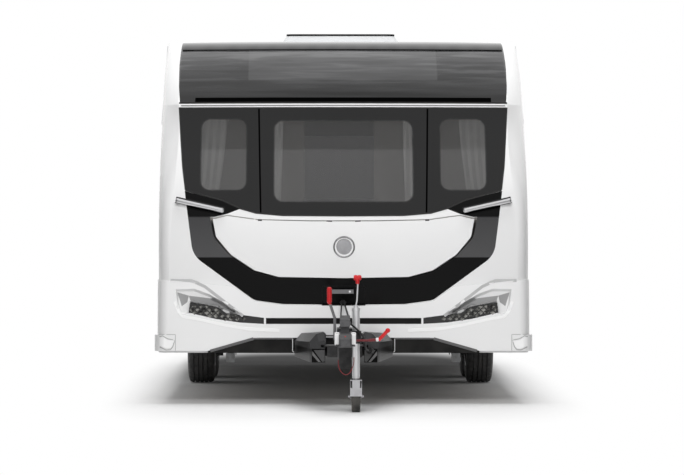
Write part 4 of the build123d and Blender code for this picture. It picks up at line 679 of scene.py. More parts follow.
# %% Plates
def at_level(outline, axis, level):
    """The points of an outline at one level of an axis; its pairs are the other two axes."""
    slot = "xyz".index(axis)
    return [(*pair[:slot], level, *pair[slot:]) for pair in outline]


def plate(outline, axis, low, high):
    """Points and faces of an outline pushed along an axis."""
    count = len(outline)
    faces = [tuple(range(count)), tuple(range(count, 2 * count))]
    return (at_level(outline, axis, low) + at_level(outline, axis, high),
            faces + ring_faces(2, count, closed=False))


def round_outline(low, high, radius, steps=6):
    """A rectangle with round corners, given by two opposite corners, as points in order."""
    points = []
    corners = ((high[0] - radius, high[1] - radius, 0), (low[0] + radius, high[1] - radius, 90),
               (low[0] + radius, low[1] + radius, 180), (high[0] - radius, low[1] + radius, 270))
    for x, y, start in corners:
        for step in range(steps + 1):
            angle = math.radians(start + 90 * step / steps)
            points.append((x + radius * math.cos(angle), y + radius * math.sin(angle)))
    return points


def ring_plate(outer, inner, axis, low, high, closed=True):
    """Points and faces of a flat ring, or an open bow, between two outlines of equal length."""
    count = len(outer)
    points = [point for outline in (outer, inner) for level in (low, high)
              for point in at_level(outline, axis, level)]
    faces = [(a * count + i, a * count + (i + 1) % count,
              b * count + (i + 1) % count, b * count + i)
             for i in range(count if closed else count - 1)
             for a, b in ((0, 1), (2, 3), (0, 2), (1, 3))]
    if not closed:
        faces += [(i, count + i, 3 * count + i, 2 * count + i) for i in (0, count - 1)]
    return points, faces


def frame_ring(low, high, inset, radii, axis, near, far):
    """A flat frame with round corners: inset is how far its inner edge lies in from the outer."""
    inner_low = (low[0] + inset[0], low[1] + inset[1])
    inner_high = (high[0] - inset[0], high[1] - inset[1])
    return ring_plate(round_outline(low, high, radii[0]),
                      round_outline(inner_low, inner_high, radii[1]), axis, near, far)


# %% The curved front
FRONT_NODES = ("front_moulding", "overhead_panel", "front_windows", "front_trim",
               "gas_locker_lid", "front_bumper", "bumper_strip", "front_lamps")
RAY_START_Y = -3.5
GAP_DEPTH = 0.012
front_shape = BVHTree.FromPolygons(*gather(
    ([v.co.copy() for v in nodes[name].data.vertices],
     [tuple(p.vertices) for p in nodes[name].data.polygons]) for name in FRONT_NODES))


def front_y(x, z, reach=0.010):
    """Where the outside of the front is, at a place seen from ahead. Steps over shut gaps."""
    found = []
    for dx, dz in ((0, 0), (reach, 0), (-reach, 0), (0, reach), (0, -reach)):
        hit = front_shape.ray_cast(Vector((x + dx, RAY_START_Y, z + dz)), Vector((0, 1, 0)))[0]
        if hit is not None:
            found.append(hit.y)
    return found[0] if found[0] < min(found) + GAP_DEPTH else min(found)


def walk(path, step):
    """Points along a path of (x, z) corners, about a step apart, corners kept."""
    points = []
    for start, end in zip(path, path[1:]):
        pieces = max(1, round(math.dist(start, end) / step))
        points += [(start[0] + (end[0] - start[0]) * i / pieces,
                    start[1] + (end[1] - start[1]) * i / pieces) for i in range(pieces)]
    return points + [path[-1]]


def front_strip(path, width, lift, sink=0.004):
    """Points and faces of a strip along a path on the front. Lift is how far it stands out."""
    line = walk(path, 0.025)
    half = width / 2
    points = []
    for i, (x, z) in enumerate(line):
        ahead, behind = line[min(i + 1, len(line) - 1)], line[max(i - 1, 0)]
        way = Vector((ahead[0] - behind[0], ahead[1] - behind[1])).normalized()
        side = Vector((-way.y, way.x))
        for offset, out in ((-half, -sink), (-half * 0.86, lift), (half * 0.86, lift),
                            (half, -sink)):
            px, pz = x + side.x * offset, z + side.y * offset
            points.append((px, front_y(px, pz) - out, pz))
    last = (len(line) - 1) * 4
    return points, ring_faces(len(line), 4, closed=False) + [
        (0, 1, 2, 3), (last + 3, last + 2, last + 1, last)]


def share_along(path, share):
    """The point at a share of a path's length."""
    lengths = [math.dist(start, end) for start, end in zip(path, path[1:])]
    way = share * sum(lengths)
    for start, end, length in zip(path, path[1:], lengths):
        if way <= length:
            return Vector(start).lerp(Vector(end), way / length)
        way -= length
    return Vector(path[-1])


def front_patch(upper, lower, lift, sink=0.003, rows=6, columns=28):
    """Points and faces of a thin sheet on the front, between an upper and a lower path."""
    points = []
    for out in (lift, -sink):
        for row in range(rows + 1):
            for column in range(columns + 1):
                share = column / columns
                x, z = share_along(upper, share).lerp(share_along(lower, share), row / rows)
                points.append((x, front_y(x, z) - out, z))
    wide = columns + 1
    layer = wide * (rows + 1)
    edge = (list(range(wide)) + [wide * row + columns for row in range(1, rows + 1)]
            + [wide * rows + i for i in range(columns - 1, -1, -1)]
            + [wide * row for row in range(rows - 1, 0, -1)])
    faces = grid_faces(rows, columns) + grid_faces(rows, columns, layer)
    faces += [(a, b, layer + b, layer + a) for a, b in zip(edge, edge[1:] + edge[:1])]
    return points, faces


def paired(name, material, *strips, body="caravan"):
    """A piece of strips on the front, each (path, width, lift), with their mirror images."""
    return mesh_piece(name, *both(gather(front_strip(*strip) for strip in strips)), material, body)


print("front at the middle of the bumper", round(front_y(0, 0.6), 3))

# %% [markdown]
# ## Trim on the front
# Seen close, the front is full of thin lines: a bright strip over the windows, black rubber in
# the joints of the panes, a matt black strip under the overhead window that is painted shade for
# the deep slot there, and a seal round the band of glass. Each is a real strip with its own
# thickness, laid on the curve.

# %% Window strips and seals
LEVEL_STRIPS = (
    # name, half length, height, width, lift, finish
    ("bright_strip", 1.078, 1.967, 0.007, 0.003, "satin_strip"),
    # The air slot is a matt black strip on the surface, painted shade for the deep slot.
    ("air_slot_painted_shade", 0.985, 2.006, 0.030, 0.0015, "slot_black"),
    ("upper_seal", 1.092, 1.985, 0.012, 0.002, "black_rubber"),
    ("overhead_frame", 1.098, 2.395, 0.05, 0.002, "gloss_black"),
    ("window_head", 1.088, 1.951, 0.010, 0.002, "black_rubber"))
for name, half_length, z, width, lift, material_name in LEVEL_STRIPS:
    mesh_piece(name, *front_strip([(-half_length, z), (half_length, z)], width, lift),
               material_name)
DIVIDER = [(-0.5435, 1.247), (-0.5595, 1.955)]
BAND_SIDE = [(-1.040, 1.405), (-1.0605, 1.56), (-1.0765, 1.76), (-1.0905, 1.955)]
BAND_FOOT = [(-1.040, 1.402), (-0.798, 1.3365), (-0.680, 1.2825), (-0.574, 1.2525),
             (-0.400, 1.2375), (0.0, 1.2345)]
paired("pane_joints", "slot_black", (DIVIDER, 0.013, 0.0012, 0.010))
paired("band_seal", "black_rubber", (BAND_SIDE, 0.009, 0.0015), (BAND_FOOT, 0.011, 0.002))

# %% Pods under the grab bars and seams of the corner pads
paired("grab_bases", "gloss_black", ([(-1.1025, 1.340), (-0.785, 1.268)], 0.047, 0.0015))
paired("pad_seams", "seam_grey", ([(-1.1005, 0.352), (-1.1005, 0.457)], 0.004, 0.001),
       ([(-1.1005, 0.4575), (-1.205, 0.4575)], 0.004, 0.001))

# %% Corner lenses, scoop folds and lamp rims, with painted shade and painted highlights
SCOOP_FOLD = [(-1.1337, 0.8093), (-0.9965, 0.8093), (-0.9092, 0.7713), (-0.6579, 0.5796)]
LAMP_RIM = [(-1.106, 0.6728), (-1.0786, 0.6072), (-1.0517, 0.5744), (-0.942, 0.556),
            (-0.778, 0.5193), (-0.614, 0.4924), (-0.420, 0.484)]
LENS_TOP = [(-1.205, 0.436), (-1.185, 0.442), (-1.152, 0.422), (-1.108, 0.4155)]
LENS_FOOT = [(-1.205, 0.384), (-1.160, 0.364), (-1.135, 0.366), (-1.122, 0.380)]
LENS_RIM = [(-1.205, 0.443), (-1.185, 0.449), (-1.150, 0.429), (-1.104, 0.421),
            (-1.118, 0.376), (-1.134, 0.358), (-1.162, 0.356), (-1.203, 0.376)]
# Painted shade: grey sheets stand for the shade inside the scoop above each lamp, and a grey strip
# for the shade along its fold.
mesh_piece("scoop_painted_shade", *both(gather([
    front_patch([(-1.088, 0.7325), (-1.0143, 0.7109)], [(-1.060, 0.6420), (-1.0241, 0.6682)],
                0.001),
    front_patch([(-1.0143, 0.7109), (-0.8437, 0.6892), (-0.6684, 0.5908)],
                [(-1.0011, 0.6748), (-0.8325, 0.6400), (-0.7200, 0.5960)], 0.001)])),
           "scoop_grey")
paired("scoop_fold_shade", "fold_grey", (SCOOP_FOLD, 0.022, 0.0008))
# The lamp rims are raised strips painted a brighter white than the body, as a painted highlight.
paired("lamp_rim_highlights", "rim_white", (LAMP_RIM, 0.024, 0.003))
mesh_piece("corner_lenses", *both(front_patch(LENS_TOP, LENS_FOOT, 0.006)), "rim_white",
           bevel=0.002)
paired("lens_rims", "seam_grey", (LENS_RIM, 0.006, 0.002))

# %% Lid catches and badge
BADGE = (0.003, 1.030)
BADGE_RING = [(0.060, 0.002), (0.062, -0.004), (0.067, -0.006), (0.071, -0.003), (0.072, 0.002)]
BADGE_DISC = [(0.0, 0.002), (0.0, -0.004), (0.030, -0.0035), (0.050, -0.001), (0.053, 0.002)]
paired("lid_catches", "black_plastic", ([(-0.562, 1.206), (-0.535, 1.205)], 0.010, 0.001),
       ([(-0.112, 1.2005), (-0.076, 1.1985)], 0.009, 0.001), body="gas_lid")
badge_middle = (BADGE[0], front_y(*BADGE), BADGE[1])
mesh_piece("round_badge", *gather(turned(outline, badge_middle, (0, 1, 0), 64)
                                  for outline in (BADGE_RING, BADGE_DISC)),
           "badge_silver", "gas_lid")

# %% Handle recess
RECESS = [(-0.141, 0.650), (0.140, 0.650), (0.140, 0.774), (-0.141, 0.774), (-0.141, 0.650)]
RECESS_LOCK = [(0.0, 0.004), (0.0, -0.003), (0.007, -0.003), (0.009, 0.0), (0.009, 0.004)]
mesh_piece("recess_rim", *gather(front_strip(side, 0.006, 0.002)
                                 for side in zip(RECESS, RECESS[1:])), "black_plastic")
mesh_piece("recess_lock", *turned(RECESS_LOCK, (0.040, -2.627, 0.7385), (0, 1, 0), 24),
           "polished_trim")

# %% [markdown]
# ## Front lamps
# Each lamp is a dark housing with a field of small faceted reflectors. A pressed reflector is a
# grid of shallow pyramids, so every cell here is one, left out where its middle falls outside
# the lamp. The facets stay flat on purpose: they catch the light one by one.

# %% Reflector cells
LAMP_FIELD = [(-1.004, 0.604), (-0.997, 0.658), (-0.828, 0.629), (-0.770, 0.590),
              (-0.640, 0.575), (-0.620, 0.546), (-0.700, 0.545), (-0.835, 0.566)]
FIELD_MIDDLE = (-0.815, 0.6)
CELL = 0.040
CELL_FACES = [(0, 1, 4), (1, 2, 4), (2, 3, 4), (3, 0, 4), (5, 6, 7, 8),
              (0, 5, 6, 1), (1, 6, 7, 2), (2, 7, 8, 3), (3, 8, 5, 0)]


def inside(point, outline):
    """Whether a point lies inside an outline."""
    x, z = point
    within = False
    for (x0, z0), (x1, z1) in zip(outline, outline[1:] + outline[:1]):
        if (z0 > z) != (z1 > z) and x < (x1 - x0) * (z - z0) / (z1 - z0) + x0:
            within = not within
    return within


cells = []
for row in range(-4, 6):
    for column in range(-8, 9):
        x = FIELD_MIDDLE[0] + column * CELL + (row % 2) * CELL / 2
        z = FIELD_MIDDLE[1] + row * CELL * 0.5
        if not inside((x, z), LAMP_FIELD):
            continue
        rim = [(x + dx * CELL * 0.44, z + dz * CELL * 0.36)
               for dx, dz in ((1, 0), (0, 1), (-1, 0), (0, -1))]
        base = [(px, front_y(px, pz) - 0.0015, pz) for px, pz in rim]
        peak = (x + CELL * 0.12, front_y(x, z) - 0.011, z + CELL * 0.10)
        foot = [(px, py + 0.004, pz) for px, py, pz in base]
        cells.append((base + [peak] + foot, CELL_FACES))
mesh_piece("lamp_cells", *both(gather(cells)), "lamp_reflector", sharp=5.0)
print("reflector cells", 2 * len(cells))
paired("lamp_edges", "gloss_black", ([(-1.010, 0.598), (-1.003, 0.664)], 0.007, 0.003),
       ([(-1.003, 0.664), (-0.828, 0.634), (-0.769, 0.596)], 0.006, 0.003))

# %% Lower skirt facets, painted highlights
# Painted highlights: grey strips on the black skirt stand for the light its stepped facets catch.
paired("skirt_facet_highlights", "skirt_grey", ([(-0.872, 0.350), (-0.590, 0.431)], 0.020, 0.004),
       ([(-0.590, 0.4315), (-0.335, 0.4315)], 0.010, 0.003))

# %% [markdown]
# ## Tyres
# The tread is what makes a tyre look like one. The profile turns round the axle with four grooves
# and worn shoulders, and every few steps of the turn the outer ribs dip to cut their blocks. One
# shape serves four wheels, each on its own body and clear of its rim.

# %% Tyre meshes
TYRE_RADIUS = 0.315
WHEEL_X = 1.025
SIDES = (("right", 1), ("left", -1))
WHEELS = [(f"{end}_{side}", sign, y) for end, y in (("front", 0.625), ("rear", 1.525))
          for side, sign in SIDES]
TREAD = ((0.0835, 0.3070), (0.070, 0.3125), (0.056, 0.3142), (0.054, 0.3070), (0.046, 0.3070),
         (0.044, 0.3148), (0.022, 0.3150), (0.020, 0.3070), (0.012, 0.3070), (0.010, 0.3150))
SIDEWALL = ((0.080, 0.186), (0.087, 0.187), (0.088, 0.194), (0.0925, 0.205), (0.0935, 0.206),
            (0.0985, 0.228), (0.0985, 0.231), (0.0995, 0.233), (0.0995, 0.250),
            (0.0975, 0.268), (0.0935, 0.286), (0.0925, 0.287), (0.088, 0.300))
INNER_FACE = [(-0.078, 0.2895), (0.078, 0.2895)]
STEPS = 144
SHOULDER = 0.050
MIDDLE_RIB = 0.021
GROOVE_FLOOR = 0.300
GROOVE_DEPTH = 0.006
half_profile = SIDEWALL + TREAD
tyre_profile = [*half_profile, *((-x, r) for x, r in reversed(half_profile)), *INNER_FACE]


def cut_here(across, radius, step):
    """Whether the tread is cut down at a point of the profile, at a step of the turn."""
    outer_block = abs(across) > SHOULDER and step % 4 == 0
    inner_block = MIDDLE_RIB < abs(across) < SHOULDER and step % 6 == 3
    return radius > GROOVE_FLOOR and (outer_block or inner_block)


def tyre_mesh(x, y):
    """Points and faces of a treaded tyre with its middle at a wheel."""
    points = []
    for step in range(STEPS):
        angle = 2 * math.pi * step / STEPS
        for across, radius in tyre_profile:
            r = radius - (GROOVE_DEPTH if cut_here(across, radius, step) else 0.0)
            points.append((x + across, y + r * math.sin(angle),
                           TYRE_RADIUS + r * math.cos(angle)))
    return points, ring_faces(STEPS, len(tyre_profile))


for label, sign, y in WHEELS:
    tyre = mesh_piece(f"road_tyre_{label}", *tyre_mesh(sign * WHEEL_X, y), "tyre_rubber",
                      f"wheel_{label}", sharp=28.0)
    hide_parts(f"tyre_{label}")
print("tyre faces", len(tyre.data.polygons))

# %% [markdown]
# ## Wheel bolts and caps
# Five bolts on a circle hold each rim, with a plastic cap over the hub. They are turned pieces
# with six-sided heads, and they spin with their wheel.

# %% Bolts
BOLT_CIRCLE = 0.045
BOLT = [(0.0, -0.004), (0.0, 0.007), (0.0075, 0.007), (0.009, 0.005), (0.009, -0.004)]
HUB_CAP = [(0.0, -0.004), (0.0, 0.010), (0.020, 0.008), (0.028, 0.003), (0.030, -0.004)]
for label, sign, y in WHEELS:
    face_x = sign * (WHEEL_X + 0.0625)
    outward = (sign, 0, 0)
    bolts = []
    for index in range(5):
        angle = math.radians(90 + 72 * index)
        middle = (face_x, y + BOLT_CIRCLE * math.cos(angle),
                  TYRE_RADIUS + BOLT_CIRCLE * math.sin(angle))
        bolts.append(turned(BOLT, middle, outward, 6))
    mesh_piece(f"wheel_bolts_{label}", *gather(bolts), "galvanised_steel", f"wheel_{label}")
    mesh_piece(f"hub_cap_{label}", *turned(HUB_CAP, (face_x, y, TYRE_RADIUS), outward, 40),
               "black_plastic", f"wheel_{label}")

# %% [markdown]
# ## The hitch
# The front of the drawbar is the busiest place on the caravan. Its levers have red grips with
# ribs, the coupling has pale pads on both cheeks, and a folded rubber boot covers the sliding
# shaft. The CAD lever stays under each grip, so every grip is a turned sleeve round it.

# %% Grips
GRIPS = (
    # name, start, end, radius, ribs, finish, body
    ("brake_grip", (-0.096, -3.3118, 0.680), (-0.096, -3.3205, 0.779), 0.0170, 6,
     "red_plastic", "caravan"),
    ("crank_grip_bar", (0.056, -3.560, 0.845), (0.104, -3.560, 0.845), 0.0175, 2,
     "red_plastic", "jockey_leg"),
    ("crank_grip_neck", (0.0800, -3.560, 0.806), (0.0800, -3.560, 0.846), 0.0130, 1,
     "red_plastic", "jockey_leg"),
    ("stabiliser_grip", (0.2170, -3.7102, 0.4645), (0.2600, -3.7144, 0.5100), 0.0120, 3,
     "red_plastic", "caravan"),
    ("lever_band", (0.1930, -3.7083, 0.4599), (0.2110, -3.7097, 0.4616), 0.0125, 1,
     "pale_plastic", "caravan"))
GRIP_DOME = 0.105


def sleeve(start, end, radius, ribs):
    """Points and faces of a grip with round ribs between two points."""
    start, end = Vector(start), Vector(end)
    length = (end - start).length
    outline = [(0.0, 0.0), (radius * 0.8, 0.0)]
    for index in range(ribs * 4 + 1):
        share = index / (ribs * 4)
        wave = 0.5 - 0.5 * math.cos(2 * math.pi * share * ribs)
        outline.append((radius * (0.86 + 0.14 * wave), length * (0.04 + 0.92 * share)))
    outline += [(radius * 0.7, length), (0.0, length + radius * GRIP_DOME)]
    return turned(outline, start, end - start, 28)


for name, start, end, radius, ribs, material_name, body in GRIPS:
    mesh_piece(name, *sleeve(start, end, radius, ribs), material_name, body, sharp=50.0)
COLLAR = [(0.0242, 0.0), (0.0272, 0.001), (0.0275, 0.010), (0.0262, 0.020), (0.0242, 0.021)]
mesh_piece("jockey_collar", *turned(COLLAR, (0.070, -3.575, 0.636), (0, 0, 1), 40),
           "jockey_steel", "jockey_leg")

# %% Coupling pads and boot
PAD_OUTLINE = round_outline((-3.930, 0.432), (-3.832, 0.512), 0.018)
WEAR_DOT = [(0.0, 0.001), (0.0, -0.003), (0.0035, -0.003), (0.0045, 0.001)]
FOLDS = 7
FOLD_PITCH = 0.030
FOLD = ((0.0315, 0.001), (0.0345, 0.006), (0.0362, 0.0115), (0.0345, 0.017), (0.0315, 0.0225))
mesh_piece("coupling_pads", *both(plate(PAD_OUTLINE, "x", 0.036, 0.0665)), "pale_plastic",
           bevel=0.006)
boot_outline = [(0.0275, -0.002)]
boot_outline += [(radius, FOLD_PITCH * fold + along) for fold in range(FOLDS)
                 for radius, along in FOLD]
boot_outline += [(0.0315, 0.2155), (0.0275, 0.2155)]
boot = mesh_piece("coupling_boot", *turned(boot_outline, (0, -3.640, 0.470), (0, 1, 0), 40),
                  "black_rubber", sharp=60.0)
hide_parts("coupling_bellows")
mesh_piece("wear_dot", *turned(WEAR_DOT, (0.0, -3.9510, 0.487), (0, 1, 0), 16), "red_plastic")

# %% Cover wedges, painted light on the cover's facets
COVER_FACE_Y = -3.400
# Painted light: two thin grey plates on the black cover's face stand for the light its facets
# catch.
WEDGES = (
    ("inner", [(0.126, 0.385), (0.126, 0.312), (0.142, 0.310), (0.196, 0.384)], "wedge_grey"),
    ("outer", [(0.150, 0.309), (0.166, 0.309), (0.205, 0.352), (0.205, 0.378)], "skirt_grey"))
for name, outline, material_name in WEDGES:
    wedge = plate(outline, "y", COVER_FACE_Y - 0.003, COVER_FACE_Y + 0.001)
    mesh_piece(f"cover_facet_light_{name}", *both(wedge), material_name, bevel=0.001)
paired("cover_surround", "pale_plastic", ([(-0.334, 0.432), (-0.334, 0.352)], 0.005, 0.002),
       ([(-0.334, 0.350), (-0.326, 0.342)], 0.005, 0.002))

# %% Cable entries
ENTRY = [(0.0062, -0.002), (0.0125, -0.002), (0.0118, -0.010), (0.0072, -0.030), (0.0062, -0.030)]
for name, x in (("towing_entry", 0.004), ("drawbar_entry", -0.013)):
    mesh_piece(name, *turned(ENTRY, (x, -2.612, 0.668), (0, 1, 0), 28), "black_rubber")

# %% [markdown]
# ## Rooflight rim
# The rooflight lid is a pale moulded dome. Round its top runs a thin dark gasket, which draws the
# one dark line on the skyline.

# %% Rooflight gasket
mesh_piece("rooflight_gasket",
           *frame_ring((-0.3968, 0.3650), (0.3968, 0.9750), (0.0243, 0.0355), (0.052, 0.034),
                       "z", 2.5570, 2.5689), "slot_black")
mesh_piece("rooflight_flange",
           *frame_ring((-0.490, 0.285), (0.490, 1.055), (0.0155, 0.0155), (0.055, 0.048),
                       "z", 2.4395, 2.448), "pale_plastic", bevel=0.002)

# %% [markdown]
# ## Sides
# The side windows hang in black rubber frames, the wheel arch has a moulded lip, and the doors
# have catches. All of this is flat work, cut from outlines and set on the wall's skin.

# %% Window seals
WINDOW_INSET = (0.017, 0.017)
WINDOW_RADII = (0.085, 0.072)
OVERLAP = 0.027
WINDOWS = {
    "right": ((-1.500, -0.700, 1.350), (0.420, 1.220, 1.420), (2.120, 3.020, 1.350)),
    "left": ((-1.500, -0.700, 1.350), (-0.250, 0.450, 1.420), (2.120, 3.020, 1.350))}
WINDOW_TOP_Z = 1.900
for side, sign in SIDES:
    seals = [frame_ring((y0 - OVERLAP, z0 - OVERLAP), (y1 + OVERLAP, WINDOW_TOP_Z + OVERLAP),
                        WINDOW_INSET, WINDOW_RADII, "x", sign * 1.2145, sign * 1.2242)
             for y0, y1, z0 in WINDOWS[side]]
    mesh_piece(f"window_frames_{side}", *gather(seals), "black_rubber", bevel=0.0015)
mesh_piece("window_frame_rear",
           *frame_ring((-0.647, 1.353), (0.647, 1.927), WINDOW_INSET, WINDOW_RADII,
                       "y", 3.9445, 3.9540), "black_rubber", bevel=0.0015)

# %% Arch lips
ARCH_FOOT_Z = 0.345
ARCH_SPRING_Z = 0.432


def arch_line(low_y, high_y, top_z, radius):
    """The line of an arch from one foot over the top to the other."""
    bow = round_outline((low_y, 0.25), (high_y, top_z), radius, steps=8)
    return [(high_y, ARCH_FOOT_Z), *((y, z) for y, z in bow if z > ARCH_SPRING_Z),
            (low_y, ARCH_FOOT_Z)]


arch_lines = arch_line(0.213, 1.937, 0.752, 0.150), arch_line(0.247, 1.903, 0.718, 0.118)
mesh_piece("arch_lips", *gather(
    ring_plate(*arch_lines, "x", sign * 1.2145, sign * 1.2235, closed=False)
    for _, sign in SIDES), "pale_plastic", bevel=0.002)

# %% Door handle
DOOR_LOCK = [(0.0, -0.002), (0.0, 0.003), (0.008, 0.003), (0.010, -0.002)]
mesh_piece("door_pull", *plate(round_outline((-0.022, 1.075), (0.026, 1.225), 0.012),
                               "x", 1.2225, 1.2262), "gloss_black", "door", bevel=0.0015)
mesh_piece("door_lever", *plate(round_outline((-0.012, 1.110), (0.014, 1.205), 0.010),
                                "x", 1.2255, 1.2350), "black_plastic", "door", bevel=0.003)
mesh_piece("door_lock", *turned(DOOR_LOCK, (1.2262, 0.001, 1.092), (1, 0, 0), 24),
           "polished_trim", "door")
mesh_piece("door_window_frame",
           *frame_ring((-0.402, 1.448), (-0.038, 2.052), (0.014, 0.014), (0.042, 0.030),
                       "x", 1.2115, 1.2185), "black_rubber", "door", bevel=0.0015)

# %% [markdown]
# ## Soft goods
# The lounge has two seat pads and two back pads, upholstered in woven cloth. A foam pad is fuller
# in its middle than at its edges and its corners pull in, so each pad is a grid box whose faces
# swell. The curtains hang in folds beside the panes: a gathered curtain is a flat cloth about
# half as wide again as the place it covers, and its folds deepen towards the hem.

# %% Upholstery and curtain cloth
def cloth(name, colour, second, threads_per_metre, sheen_weight):
    """A woven cloth: the weave darkens the colour between threads and gives the bump."""
    tree = finish(name, colour, second, 0.85, 0.0, (9.0, 0.6), (900.0, 0.5), (0.1, 0.0), 0.25,
                  Sheen_Weight=sheen_weight).node_tree
    thread_group = place(tree, "ShaderNodeGroup", {"Threads per metre": threads_per_metre},
                         node_tree=weave)
    darker = tuple(value * 0.6 for value in colour)
    set_colour(blend_colour(thread_group.outputs["Mask"], skin_colour(tree), darker))
    join(thread_group.outputs["Height"], tree.nodes["relief"].inputs["Height"])
    return tree


cloth("upholstery", (0.34, 0.33, 0.31), (0.27, 0.26, 0.245), 420.0, 0.3)
curtain_tree = cloth("curtain_cloth", (0.86, 0.86, 0.85), (0.76, 0.76, 0.75), 700.0, 0.2)
through = place(curtain_tree, "ShaderNodeBsdfTranslucent", {"Color": (0.80, 0.80, 0.79, 1)})
join(mix_shaders(0.4, curtain_tree.nodes["Principled BSDF"].outputs[0], through.outputs[0]),
     curtain_tree.nodes["Material Output"].inputs["Surface"])
dress("lounge_cushions", "upholstery")


# %% Pads
def pad(name, low, high, swell=0.022, cells=14):
    """A foam pad inside a box: its faces crown by swell and its edges are drawn in."""
    low, high = Vector(low), Vector(high)
    middle, half = (low + high) / 2, (high - low) / 2
    shape = bmesh.new()
    bmesh.ops.create_cube(shape, size=2.0)
    bmesh.ops.subdivide_edges(shape, edges=shape.edges, cuts=cells, use_grid_fill=True)
    for vert in shape.verts:
        share = [max(-1.0, min(1.0, c)) for c in vert.co]
        room = [math.cos(c * math.pi / 2) ** 0.5 if abs(c) < 0.9999 else 0.0 for c in share]
        out = []
        for axis in range(3):
            crown = math.prod(room[i] for i in range(3) if i != axis)
            out.append(share[axis] * (1.0 - swell * (1.0 - crown) / half[axis]))
        vert.co = middle + Vector((out[0] * half.x, out[1] * half.y, out[2] * half.z))
    data = bpy.data.meshes.new(name)
    shape.to_mesh(data)
    shape.free()
    data.shade_smooth()
    data.materials.append(looks["upholstery"])
    piece = add_object(name, data)
    smooth = piece.modifiers.new("foam", "SUBSURF")
    smooth.levels = smooth.render_levels = 1
    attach(piece, "caravan")
    return piece


PAD_BOXES = {"seat": ((0.540, -2.065, 0.8655), (1.055, -0.570, 0.980)),
             "back": ((1.060, -2.065, 0.8655), (1.1845, -0.570, 1.335))}
for side, sign in SIDES:
    for label, (low, high) in PAD_BOXES.items():
        xs = sorted((sign * low[0], sign * high[0]))
        pad(f"{label}_pad_{side}", (xs[0], *low[1:]), (xs[1], *high[1:]))
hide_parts("lounge_cushions")

# %% Curtains
CURTAIN_Y = -2.105
CURTAIN_TOP, CURTAIN_FOOT = 1.878, 1.228
CURTAINS = (("outer", 0.774, 1.078, 6, 0.085), ("inner", 0.400, 0.558, 3, 0.02))
FIRST_SEED = 3


def curtain(name, x0, x1, folds, seed, draw_in):
    """A gathered curtain: its folds deepen and its inner edge draws in downwards."""
    draw = random.Random(seed)
    phases = [draw.uniform(-0.5, 0.5) for _ in range(folds + 1)]
    across, down = folds * 12, 24
    points, width = [], 0.0
    for row in range(down + 1):
        drop = row / down
        depth = 0.008 + 0.013 * drop
        for column in range(across + 1):
            share = column / across
            turn = share * folds * 2 * math.pi
            drift = phases[int(share * folds)] * 0.5
            pull = draw_in * drop ** 1.5 * (share if abs(x1) < abs(x0) else share - 1)
            x = x0 + (x1 - x0) * share - pull + 0.006 * math.sin(turn * 2 + drift) * drop
            y = (CURTAIN_Y + depth * math.sin(turn + drift * drop)
                 + 0.003 * math.sin(5 * drop + share * 4))
            points.append(Vector((x, y, CURTAIN_TOP + (CURTAIN_FOOT - CURTAIN_TOP) * drop)))
        line = points[-(across + 1):]
        width += sum((b - a).length for a, b in zip(line, line[1:])) / (down + 1)
    piece = mesh_piece(name, points, grid_faces(down, across), "curtain_cloth", sharp=180.0)
    return piece


curtains = []
for side, sign in SIDES:
    for label, x0, x1, folds, draw_in in CURTAINS:
        curtains.append(curtain(f"curtain_{label}_{side}", *sorted((sign * x0, sign * x1)),
                                folds, len(curtains) + FIRST_SEED, draw_in))
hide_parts("curtains")

# %% [markdown]
# ## Floor and light
# A catalogue picture stands on nothing: white all round and a soft shadow underneath. The floor
# here is a pale diffuse plane, with a painted shadow under the rear half of the caravan that
# runs some metres behind it. Seen directly or in a reflection it gets a little glow, which lifts
# the lit part to white and leaves the shadow. Far from the caravan it is plain white. Most light
# comes evenly from the sky, so the shadow is soft. A broad lamp overhead and another in front
# shape the body, a small one lights the cabin, and two dark flags ahead of the nose, which the
# camera doesn't see, draw the edges of the white nose.

# %% Light path and sheets
def seen_directly(surface, bounced, shown):
    """One shader for the light that bounces, another for what the eye, gloss and glass see."""
    rays = place(surface.id_data, "ShaderNodeLightPath").outputs
    direct = plus(plus(rays["Is Camera Ray"], rays["Is Glossy Ray"]),
                  rays["Is Transmission Ray"], clamp=True)
    join(mix_shaders(direct, bounced, shown), surface)


def stage_sheet(name, corners, material):
    """A flat sheet with four corners that belongs to the studio, not to the caravan."""
    data = bpy.data.meshes.new(name)
    data.from_pydata(corners, [], [(0, 1, 2, 3)])
    data.materials.append(material)
    sheet = add_object(name, data)
    return sheet


# %% Floor
PALE, PAINTED_SHADOW, PAINTED_TAIL_SHADOW = grey(0.86), grey(0.27), grey(0.085)
GLOW = 0.012
HALF_WIDTH, REACH_BEHIND, REACH_AHEAD = 1.62, 7.9, 5.3
FLOOR_REACH = 120.0
floor_material = bpy.data.materials.new("studio_floor")
floor_material.use_nodes = True
floor_tree = floor_material.node_tree
floor_tree.nodes.clear()
floor_output = place(floor_tree, "ShaderNodeOutputMaterial")
paint = place(floor_tree, "ShaderNodeBsdfDiffuse")
glow = place(floor_tree, "ShaderNodeEmission", {"Strength": GLOW})
lifted = place(floor_tree, "ShaderNodeAddShader")
join(paint.outputs[0], lifted.inputs[0])
join(glow.outputs[0], lifted.inputs[1])
white = place(floor_tree, "ShaderNodeEmission", {"Strength": 1.0})
floor_axes = object_axes(floor_tree)
sideways = over(sums("ABSOLUTE", floor_axes["X"]), HALF_WIDTH)
lengthways = sums("MAXIMUM", over(floor_axes["Y"], REACH_BEHIND),
                  over(floor_axes["Y"], -REACH_AHEAD))
away = sums("POWER", plus(sums("POWER", sideways, 4.0), sums("POWER", lengthways, 4.0)), 0.25)
under = ramp(sideways, 0.84, 0.70)
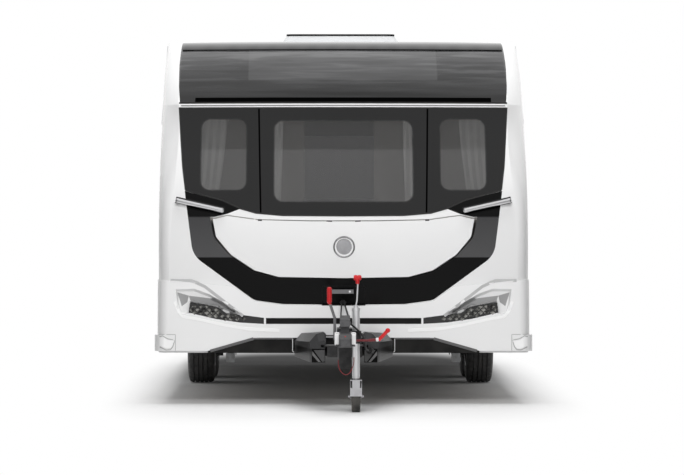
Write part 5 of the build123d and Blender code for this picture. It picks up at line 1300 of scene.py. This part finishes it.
# Painted shadow: the floor is painted darker under the caravan's rear half, and darker still in a
# tail behind it.
painted_shadow_colour = blend_colour(times(ramp(floor_axes["Y"], -2.2, 3.0), under), PALE, PAINTED_SHADOW)
with_painted_tail_shadow = blend_colour(times(ramp(floor_axes["Y"], 3.0, 4.4), under), painted_shadow_colour, PAINTED_TAIL_SHADOW)
join(with_painted_tail_shadow, paint.inputs["Color"])
near_and_far = mix_shaders(ramp(away, 0.70, 1.02), lifted.outputs[0], white.outputs[0])
seen_directly(floor_output.inputs["Surface"], paint.outputs[0], near_and_far)
stage_sheet("floor", [(-FLOOR_REACH, -FLOOR_REACH, 0), (FLOOR_REACH, -FLOOR_REACH, 0),
                      (FLOOR_REACH, FLOOR_REACH, 0), (-FLOOR_REACH, FLOOR_REACH, 0)],
            floor_material)

# %% Sky
SKY_STRENGTH = 0.72
world = bpy.data.worlds.new("studio")
bpy.context.scene.world = world
world.use_nodes = True
world.node_tree.nodes.clear()
sky_output = place(world.node_tree, "ShaderNodeOutputWorld")
soft, shown = (place(world.node_tree, "ShaderNodeBackground",
                     {"Color": (1, 1, 1, 1), "Strength": strength}).outputs[0]
               for strength in (SKY_STRENGTH, 1.0))
seen_directly(sky_output.inputs["Surface"], soft, shown)


# %% Lamps
def softbox(name, place_at, aim, width, depth, watts):
    """A broad area lamp that looks at a point."""
    data = bpy.data.lights.new(name, "AREA")
    data.shape = "RECTANGLE"
    data.size = width
    data.size_y = depth
    data.energy = watts
    lamp = add_object(name, data)
    lamp.location = place_at
    lamp.rotation_euler = (Vector(aim) - Vector(place_at)).to_track_quat("-Z", "Y").to_euler()
    lamp.visible_glossy = False


softbox("overhead", (0.0, -1.5, 9.0), (0, -0.5, 1), 6.0, 10.0, 430.0)
softbox("front_fill", (0.0, -15.0, 6.5), (0, -2.6, 1.2), 5.0, 3.0, 680.0)
softbox("cabin", (0.0, -0.5, 2.20), (0, -0.6, 1), 1.0, 0.5, 60.0)

# %% Flags
FLAG_X = 1.9
FLAG_EDGE = ((-6.0, 0.05), (-2.3, 0.05), (-2.3, 3.0), (-6.0, 3.0))
flag_material = bpy.data.materials.new("studio_flag")
flag_material.use_nodes = True
flag_shader = flag_material.node_tree.nodes["Principled BSDF"]
flag_shader.inputs["Base Color"].default_value = (0.02, 0.02, 0.02, 1)
for sign in (-1, 1):
    flag = stage_sheet("flag", at_level(FLAG_EDGE, "x", sign * FLAG_X), flag_material)
    flag.visible_camera = False
